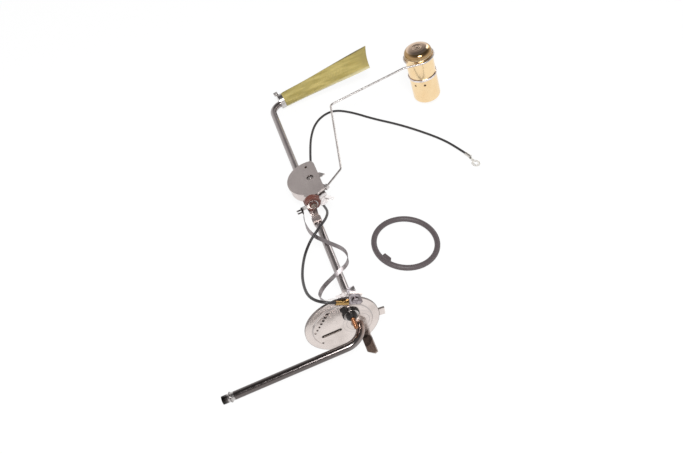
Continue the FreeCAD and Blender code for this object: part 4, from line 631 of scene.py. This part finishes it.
def braze_copper():
    """Grey braze with a copper cast, oxidised in patches."""
    shader = Shader("braze_copper", (0.44, 0.38, 0.35), roughness=0.42, metallic=1.0)
    shader.blotches((0.26, 0.19, 0.16), scale=0.45, start=0.45, full=0.65, detail=5)
    shader.wear(smoothest=0.35, roughest=0.65, scale=0.9)
    shader.grain(depth=0.12, scale=1.2, detail=4)
    return shader.material


def black_plastic():
    """Moulded black insulator with a soft sheen."""
    shader = Shader("black_plastic", (0.012, 0.010, 0.010), roughness=0.36)
    shader.bsdf.inputs["Specular IOR Level"].default_value = 0.3
    shader.blotches((0.026, 0.022, 0.022), scale=0.5, start=0.50, full=0.80)
    shader.wear(smoothest=0.24, roughest=0.46, scale=1.0)
    shader.grain(depth=0.02, scale=5.0)
    return shader.material


def phenolic_brown():
    """Red-brown moulded phenolic with darker flecks and two dark rings around its rivet."""
    shader = Shader("phenolic_brown", (0.17, 0.050, 0.034), roughness=0.30)
    shader.blotches((0.10, 0.028, 0.022), scale=0.8, start=0.48, full=0.70, detail=5)
    shader.paint(shader.ring(BLOCK_FACE, radius=6.6, half_width=0.5), (0.035, 0.014, 0.012))
    shader.paint(shader.ring(BLOCK_RIVET, radius=4.3, half_width=0.4), (0.035, 0.014, 0.012))
    shader.blotches((0.07, 0.03, 0.02), scale=3.0, start=0.66, full=0.72, detail=2, strength=0.6)
    shader.wear(smoothest=0.26, roughest=0.46, scale=1.0)
    shader.grain(depth=0.02, scale=4.0)
    return shader.material


def fibre_card():
    """Brown fibre card of the resistor."""
    shader = Shader("fibre_card", (0.30, 0.15, 0.07), roughness=0.7)
    shader.blotches((0.20, 0.10, 0.05), scale=1.5, start=0.45, full=0.70, stretch=(1, 1, 0.2))
    shader.grain(depth=0.03, scale=4.0)
    return shader.material


def resistance_wire():
    """Close turns of fine wire across the card."""
    shader = Shader("resistance_wire", (0.52, 0.42, 0.32), roughness=0.35, metallic=1.0)
    turns = shader.bands(1.6, "X")
    shader.paint(turns, (0.24, 0.18, 0.13))
    shader.bump(turns, 0.08)
    return shader.material


def dark_rivet():
    """Dark oxidised rivet."""
    shader = Shader("dark_rivet", (0.20, 0.17, 0.15), roughness=0.45, metallic=1.0)
    shader.blotches((0.09, 0.075, 0.07), scale=0.8, start=0.45, full=0.75)
    shader.grain(depth=0.02, scale=3.0)
    return shader.material


def strap_metal():
    """Dark flat strip, a little worn along its run, with a painted highlight that makes it pale and matte
    at the inner terminal.
    """
    shader = Shader("strap_metal", (0.33, 0.30, 0.305), roughness=0.30, metallic=1.0)
    shader.blotches((0.44, 0.40, 0.40), scale=0.10, start=0.50, full=0.78)
    # painted highlight: the strap pale and matte near the inner terminal
    end_highlight = shader.near(STRAP_END, inner=11, outer=14)
    shader.paint(end_highlight, (0.90, 0.87, 0.86))
    shader.dull(end_highlight)
    shader.wear(smoothest=0.30, roughest=0.52, scale=0.6)
    shader.grain(depth=0.02, scale=2.0)
    return shader.material


def lead_rubber():
    """Black insulation of the ground lead."""
    shader = Shader("lead_rubber", (0.026, 0.022, 0.023), roughness=0.38)
    shader.blotches((0.045, 0.044, 0.043), scale=0.35, start=0.52, full=0.80)
    shader.wear(smoothest=0.30, roughest=0.50, scale=0.5)
    shader.grain(depth=0.02, scale=2.5)
    return shader.material


def seal_rubber():
    """Black moulded rubber with a little bloom."""
    shader = Shader("seal_rubber", (0.098, 0.078, 0.082), roughness=0.48)
    shader.blotches((0.125, 0.108, 0.108), scale=0.25, start=0.52, full=0.80, detail=5)
    shader.wear(smoothest=0.38, roughest=0.62, scale=0.6, detail=4)
    shader.grain(depth=0.03, scale=2.0, detail=4)
    return shader.material


def tinned_steel():
    """Pale tinned ring terminal."""
    shader = Shader("tinned_steel", (0.70, 0.68, 0.64), roughness=0.32, metallic=1.0)
    shader.blotches((0.55, 0.53, 0.50), scale=0.6, start=0.45, full=0.75)
    shader.wear(smoothest=0.22, roughest=0.42, scale=1.0)
    shader.grain(depth=0.015, scale=3.0)
    return shader.material


def soldered_brass():
    """Brass band under a skin of solder: pale, with darker runs."""
    shader = Shader("soldered_brass", (0.86, 0.80, 0.79), roughness=0.20, metallic=1.0)
    shader.blotches((0.50, 0.40, 0.36), scale=0.12, start=0.50, full=0.62, stretch=(1, 1, 2))
    shader.wear(smoothest=0.14, roughest=0.30, scale=0.6)
    shader.grain(depth=0.04, scale=0.8)
    return shader.material


def along_sleeve(shader):
    """The shader's place turned so that x runs along the sleeve and y across its flat side."""
    turned = shader.nodes.new("ShaderNodeMapping")
    turned.inputs["Rotation"].default_value = (SLEEVE_TURN, 0, -PICKUP_TILT)
    shader.link(shader.place, turned.inputs["Vector"])
    return turned.outputs["Vector"]


def sleeve_fold_shading(shader, place):
    """Painted light and shade of the folds: soft streaks along the sleeve, longer than they are wide."""
    stretched = shader.vector_maths("MULTIPLY", place, (0.12, 1.0, 1.0))
    fold_shading = shader.nodes.new("ShaderNodeTexNoise")
    fold_shading.inputs["Scale"].default_value = 0.22
    fold_shading.inputs["Detail"].default_value = 4.0
    shader.link(stretched.outputs[0], fold_shading.inputs["Vector"])
    return fold_shading.outputs["Fac"]


def sleeve_threads(shader, place, direction):
    """Slightly uneven threads of the cloth, side by side."""
    threads = shader.nodes.new("ShaderNodeTexWave")
    threads.bands_direction = direction
    threads.inputs["Scale"].default_value = 0.9
    threads.inputs["Distortion"].default_value = 0.3
    threads.inputs["Detail Scale"].default_value = 0.3
    shader.link(place, threads.inputs["Vector"])
    return threads.outputs["Fac"]


def let_light_through(shader, colour, share):
    """Mixes a translucent part into the shader's surface."""
    glow = shader.nodes.new("ShaderNodeBsdfTranslucent")
    glow.inputs["Color"].default_value = colour
    mix = shader.nodes.new("ShaderNodeMixShader")
    mix.inputs["Fac"].default_value = share
    shader.link(shader.bsdf.outputs[0], mix.inputs[1])
    shader.link(glow.outputs[0], mix.inputs[2])
    shader.link(mix.outputs[0], shader.nodes["Material Output"].inputs["Surface"])


def strainer_mesh():
    """Olive-yellow woven mesh that lets some light through, with painted light and shade of its folds, its
    seam darkened with painted shade, and pale along its hem.
    """
    shader = Shader("strainer_mesh", (0.84, 0.70, 0.27), roughness=0.78)
    place = along_sleeve(shader)
    fold_shading = sleeve_fold_shading(shader, place)
    # painted light and shade of the lengthwise folds
    shader.paint(shader.ramp(fold_shading, 0.38, 0.62), (0.52, 0.43, 0.14))
    shader.blotches((0.62, 0.53, 0.22), scale=0.06, start=0.50, full=0.72, detail=3, strength=0.6)
    across = sleeve_threads(shader, place, "X")
    lengthwise = sleeve_threads(shader, place, "Y")
    cloth = shader.maths("MULTIPLY", across, lengthwise)
    shader.paint(shader.ramp(cloth, 0.35, 0.05, 0.0, 0.35), (0.36, 0.31, 0.09))
    end = PICKUP_START + PICKUP_ALONG * (SLEEVE_LENGTH - SEAM_STOPS_BEFORE)
    seam_start = PICKUP_START + SLEEVE_FLAT * SLEEVE_FULL
    seam_end = end + SLEEVE_FLAT * (SLEEVE_WIDE + SEAM_OUT_AT_END)
    # painted shade along the sleeve's top edge, at its seam
    shader.paint(shader.along_line(seam_start, seam_end, inner=1.0, outer=2.4), (0.13, 0.11, 0.06))
    shader.paint(shader.near(end, inner=3, outer=20), (0.46, 0.38, 0.14))
    hem_start = PICKUP_START - SLEEVE_FLAT * (SLEEVE_FULL + HEM_OUT_AT_START)
    hem_end = end - SLEEVE_FLAT * (SLEEVE_WIDE + HEM_OUT_AT_END)
    shader.paint(shader.along_line(hem_start, hem_end, inner=2.0, outer=4.5), (0.92, 0.86, 0.55))
    shader.bump(cloth, 0.10)
    let_light_through(shader, (0.60, 0.50, 0.18, 1.0), share=0.30)
    return shader.material


# Camera, light and floor

def place_camera():
    """The photograph's viewing place and angle."""
    data = bpy.data.cameras.new("camera")
    data.sensor_width = CAMERA_SENSOR
    data.sensor_fit = "HORIZONTAL"
    data.lens = CAMERA_LENS
    camera = bpy.data.objects.new("camera", data)
    camera.location = CAMERA_PLACE
    camera.rotation_euler = CAMERA_HEADING.to_track_quat("-Z", "Y").to_euler()
    scene.collection.objects.link(camera)
    scene.camera = camera


def soft_light(name, place, width, height, power):
    """A rectangular light that faces the middle of the object."""
    data = bpy.data.lights.new(name, "AREA")
    data.shape = "RECTANGLE"
    data.size = width
    data.size_y = height
    data.energy = power
    light = bpy.data.objects.new(name, data)
    light.location = place
    light.rotation_euler = (-Vector(place)).to_track_quat("-Z", "Y").to_euler()
    scene.collection.objects.link(light)


def mixed(tree, factor, first, second):
    """One shader where the factor is 0 and another where it is 1."""
    node = tree.nodes.new("ShaderNodeMixShader")
    tree.links.new(factor, node.inputs["Fac"])
    tree.links.new(first, node.inputs[1])
    tree.links.new(second, node.inputs[2])
    return node.outputs[0]


def larger(tree, first, second):
    """The larger of two numbers."""
    node = tree.nodes.new("ShaderNodeMath")
    node.operation = "MAXIMUM"
    tree.links.new(first, node.inputs[0])
    tree.links.new(second, node.inputs[1])
    return node.outputs[0]


def mirrored_room(tree):
    """What reflections see: white at the horizon and dark overhead."""
    coordinates = tree.nodes.new("ShaderNodeTexCoord")
    split = tree.nodes.new("ShaderNodeSeparateXYZ")
    tree.links.new(coordinates.outputs["Generated"], split.inputs[0])
    ramp = tree.nodes.new("ShaderNodeValToRGB")
    horizon, overhead = ramp.color_ramp.elements
    horizon.position = 0.0
    horizon.color = WHITE
    overhead.position = 1.0
    overhead.color = OVERHEAD
    for place, grey in CEILING:
        element = ramp.color_ramp.elements.new(place)
        element.color = (grey, grey * CEILING_TINT, grey * CEILING_TINT, 1)
    tree.links.new(split.outputs["Z"], ramp.inputs["Fac"])
    background = tree.nodes.new("ShaderNodeBackground")
    tree.links.new(ramp.outputs["Color"], background.inputs["Color"])
    return background.outputs[0]


def white_room():
    """A world that is white behind the object, soft in its light, and graded in its reflections."""
    world = bpy.data.worlds.new("room")
    scene.world = world
    world.use_nodes = True
    tree = world.node_tree
    ambient = tree.nodes["Background"]
    ambient.inputs["Color"].default_value = WHITE
    ambient.inputs["Strength"].default_value = ROOM_LIGHT
    seen = tree.nodes.new("ShaderNodeBackground")
    seen.inputs["Color"].default_value = WHITE
    seen.inputs["Strength"].default_value = 1.0
    path = tree.nodes.new("ShaderNodeLightPath")
    lit = mixed(tree, path.outputs["Is Glossy Ray"], ambient.outputs[0], mirrored_room(tree))
    looked_at = larger(tree, path.outputs["Is Camera Ray"], path.outputs["Is Transmission Ray"])
    room = mixed(tree, looked_at, lit, seen.outputs[0])
    tree.links.new(room, tree.nodes["World Output"].inputs["Surface"])


def floor_material():
    """White that glows a little where the camera or a reflection sees it, and keeps the object's shadow."""
    material = bpy.data.materials.new("floor_white")
    material.use_nodes = True
    tree = material.node_tree
    bsdf = tree.nodes["Principled BSDF"]
    bsdf.inputs["Base Color"].default_value = FLOOR_COLOUR
    bsdf.inputs["Roughness"].default_value = FLOOR_ROUGHNESS
    white = tree.nodes.new("ShaderNodeEmission")
    white.inputs["Strength"].default_value = FLOOR_WHITE
    path = tree.nodes.new("ShaderNodeLightPath")
    share = tree.nodes.new("ShaderNodeMath")
    share.operation = "MULTIPLY"
    share.inputs[1].default_value = FLOOR_GLOW
    seen = larger(tree, path.outputs["Is Camera Ray"], path.outputs["Is Glossy Ray"])
    tree.links.new(seen, share.inputs[0])
    surface = mixed(tree, share.outputs[0], bsdf.outputs[0], white.outputs[0])
    tree.links.new(surface, tree.nodes["Material Output"].inputs["Surface"])
    return material


def pale_floor():
    """A plain white floor just below the object."""
    mesh = bpy.data.meshes.new("floor")
    corners = [(-FLOOR_REACH, -FLOOR_REACH, 0), (FLOOR_REACH, -FLOOR_REACH, 0),
               (FLOOR_REACH, FLOOR_REACH, 0), (-FLOOR_REACH, FLOOR_REACH, 0)]
    mesh.from_pydata(corners, [], [(0, 1, 2, 3)])
    floor = bpy.data.objects.new("floor", mesh)
    floor.location = (0, 0, -FLOOR_DROP)
    scene.collection.objects.link(floor)
    mesh.materials.append(floor_material())


place_camera()
white_room()
pale_floor()
soft_light("behind_camera", place=(-0.27, -0.90, 1.48), width=0.56, height=0.42, power=21)
soft_light("far_right", place=(1.05, 1.05, 0.85), width=0.5, height=0.8, power=3)

LOOKS = {
    "plated_disc": plated_disc_steel(),
    "tube": tube_steel(),
    "sheet": sender_sheet_steel(),
    "bright": bright_steel(),
    "ground_plate": ground_plate_steel(),
    "wire": arm_wire_steel(),
    "brass": float_brass(),
    "worn_brass": worn_brass(),
    "braze": braze_copper(),
    "black": black_plastic(),
    "phenolic": phenolic_brown(),
    "card": fibre_card(),
    "winding": resistance_wire(),
    "rivet": dark_rivet(),
    "strap": strap_metal(),
    "lead": lead_rubber(),
    "seal": seal_rubber(),
    "tin": tinned_steel(),
    "solder": soldered_brass(),
    "mesh": strainer_mesh(),
}

NODE_LOOKS = {
    "plated_disc": ["mounting_flange"],
    "tube": ["fuel_tube"],
    "sheet": ["sender_case", "sender_cover", "sender_bracket", "lower_tube_band", "upper_tube_band",
              "tube_clamp", "side_clip"],
    "bright": ["insulator_eyelet", "stud_nut", "clamp_screw", "clamp_nut", "inner_terminal", "case_rivets",
               "contact_clip", "strainer_collar"],
    "ground_plate": ["ground_plate", "ground_rivet"],
    "wire": ["float_arm", "rotor_lever", "pivot_shaft", "wiper_spring"],
    "brass": ["float_upper_shell", "float_lower_shell", "float_band"],
    "worn_brass": ["ground_crimp", "terminal_stud", "pivot_bush"],
    "braze": ["tube_braze_ring"],
    "black": ["outer_insulator", "insulator_dome", "inner_insulator"],
    "phenolic": ["terminal_block"],
    "card": ["resistor_card"],
    "winding": ["resistor_winding"],
    "rivet": ["terminal_rivet"],
    "strap": ["contact_strap"],
    "mesh": ["strainer_sleeve"],
    "lead": ["ground_lead"],
    "tin": ["ring_terminal"],
    "seal": ["flange_seal"],
}


# The pieces

def dress_nodes():
    """Gives each solid of the frame its material."""
    for look, names in NODE_LOOKS.items():
        for name in names:
            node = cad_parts[name]
            node.data.materials.clear()
            node.data.materials.append(LOOKS[look])


def ground_lead():
    """The lead as one smooth line through the route."""
    curve = bpy.data.curves.new("lead_cord", "CURVE")
    curve.dimensions = "3D"
    curve.bevel_depth = LEAD_DIAMETER / 2
    curve.bevel_resolution = LEAD_ROUND_STEPS
    curve.resolution_u = LEAD_CURVE_STEPS
    curve.use_fill_caps = True
    spline = curve.splines.new("NURBS")
    spline.points.add(len(LEAD_ROUTE) - 1)
    for point, place in zip(spline.points, LEAD_ROUTE):
        point.co = (*(FOOT + Vector(place)), 1.0)
    spline.order_u = 3
    spline.use_endpoint_u = True
    lead = bpy.data.objects.new("lead_cord", curve)
    keep(lead, "unit", LOOKS["lead"])
    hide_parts("ground_lead")


def eased(value):
    """A share from 0 to 1 with soft ends."""
    value = min(max(value, 0.0), 1.0)
    return value * value * (3 - 2 * value)


def sleeve_half_sizes(share):
    """The sleeve's half width and half thickness at a share of its length, without its folds."""
    past_collar = share * SLEEVE_LENGTH - SLEEVE_COLLAR
    opened = SLEEVE_NECK + (SLEEVE_FULL - SLEEVE_NECK) * eased(past_collar / OPENING_LENGTH)
    wide = opened + (SLEEVE_WIDE - SLEEVE_FULL) * eased(share ** WIDENING_POWER)
    thick = opened + (SLEEVE_THIN - SLEEVE_FULL) * eased((share - FLATTEN_FROM) / FLATTEN_OVER)
    return wide, max(thick, SLEEVE_THIN)


def fold_depth(share, turn):
    """How far the sleeve stands out at a place: long soft folds, and pleats near the collar."""
    round_about = Vector((0, math.cos(turn), math.sin(turn))) * FOLDS_ROUND
    fold = noise.noise(SIDEWAYS * share * FOLDS_ALONG + round_about)
    fade = 1 - FOLD_FADES_BY * eased((share - FOLD_FADES_FROM) / (1 - FOLD_FADES_FROM))
    past_collar = share * SLEEVE_LENGTH - SLEEVE_COLLAR
    gathered = eased(past_collar / PLEAT_RISE) * (1 - eased(share / PLEAT_UNTIL))
    pleat = PLEAT_DEPTH * math.sin(turn * PLEAT_COUNT + PLEAT_SWAY * fold) * gathered
    return FOLD_DEPTH * fold * eased(share / FOLD_OVER) * fade + pleat


def sleeve_point(share, turn):
    """A place on the sleeve, at a share of its length and a turn about its middle line."""
    wide, thick = sleeve_half_sizes(share)
    depth = fold_depth(share, turn)
    thin = PICKUP_ALONG.cross(SLEEVE_FLAT)
    outward = SLEEVE_FLAT * math.cos(turn) * (wide + depth * FOLD_SIDE_SHARE)
    outward += thin * math.sin(turn) * (thick + depth)
    near_end = eased((share - SCALLOP_FROM) / (1 - SCALLOP_FROM))
    scallop = SCALLOP_DEPTH * math.sin(turn) ** 2 * near_end
    middle_reach = SLEEVE_LENGTH - SLEEVE_SLANT
    reach = share * (middle_reach + SLEEVE_SLANT * math.cos(turn) * share) - scallop
    return PICKUP_START + PICKUP_ALONG * max(reach, SLEEVE_LEAST_REACH) + outward


def strainer_sleeve():
    """The sleeve with folds along it, gathered under its collar and sealed at its slanting end."""
    vertices = []
    for row in range(SLEEVE_ROWS):
        share = row / (SLEEVE_ROWS - 1)
        for column in range(SLEEVE_COLUMNS):
            turn = 2 * math.pi * column / SLEEVE_COLUMNS
            vertices.append(sleeve_point(share, turn))
    faces = grid_faces(SLEEVE_ROWS, SLEEVE_COLUMNS)
    last_row = (SLEEVE_ROWS - 1) * SLEEVE_COLUMNS
    for column in range(SLEEVE_COLUMNS // 2 - 1):
        low = last_row + column
        high = last_row + SLEEVE_COLUMNS - 1 - column
        faces.append((low + 1, high - 1, high, low))
    sleeve = mesh_object("sleeve_folds", vertices, faces)
    keep(sleeve, "unit", LOOKS["mesh"])
    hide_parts("strainer_sleeve")


def float_dome():
    """The float's upper shell, from its seam up: wire groove, rolled lip, crown and pressed rings."""
    profile = [(FLOAT_RADIUS - SEAM_ROUND, -FLOAT_SEAM), (FLOAT_RADIUS, SEAM_ROUND - FLOAT_SEAM),
               (FLOAT_RADIUS, WALL_BOTTOM), (FLOAT_RADIUS, WALL_TOP)]
    for step in range(-GROOVE_STEPS, GROOVE_STEPS + 1):
        height = WIRE_GROOVE * step / GROOVE_STEPS
        depth = math.sqrt(max(WIRE_GROOVE ** 2 - height ** 2, 0))
        profile.append((FLOAT_RADIUS + GROOVE_OFFSET - max(depth, GROOVE_OFFSET), height))
    for rise, height in LIP_HEIGHTS:
        profile.append((FLOAT_RADIUS + rise, height))
    for step in range(1, CROWN_STEPS + 1):
        turn = math.pi / 2 * step / CROWN_STEPS
        radius = FLOAT_RADIUS - CROWN_REACH * (1 - math.cos(turn))
        profile.append((radius, CROWN_FOOT + CROWN_HEIGHT * math.sin(turn)))
    for radius, height in CROWN_RINGS:
        profile.append((radius, CROWN_FOOT + CROWN_HEIGHT + height))
    dome = lathe("float_dome", profile, FLOAT_CENTRE)
    keep(dome, "float", LOOKS["brass"])
    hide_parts("float_upper_shell")


def float_band():
    """The soldered band over the float's seam, with rounded edges."""
    half = BAND_TALL / 2
    round_centre = FLOAT_RADIUS + BAND_RISE - BAND_ROUND
    upper = [(FLOAT_RADIUS + BAND_CLEARANCE, half)]
    for step in range(BAND_STEPS + 1):
        turn = math.pi / 2 * step / BAND_STEPS
        radius = round_centre + BAND_ROUND * math.sin(turn)
        upper.append((radius, half - BAND_ROUND * (1 - math.cos(turn))))
    lower = [(radius, -height) for radius, height in upper]
    seam = FLOAT_CENTRE - ALONG_AXIS * FLOAT_SEAM
    ring = lathe("solder_band", lower + upper[::-1], seam)
    keep(ring, "float", LOOKS["solder"])
    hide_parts("float_band")


def terminal_stud():
    """The stud with its fine thread."""
    stud = threaded_rod("threaded_stud", STUD_PLACE, STUD_RADIUS, STUD_LENGTH, THREAD_PITCH)
    keep(stud, "unit", LOOKS["worn_brass"])
    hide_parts("terminal_stud")


dress_nodes()
ground_lead()
strainer_sleeve()
float_dome()
float_band()
terminal_stud()
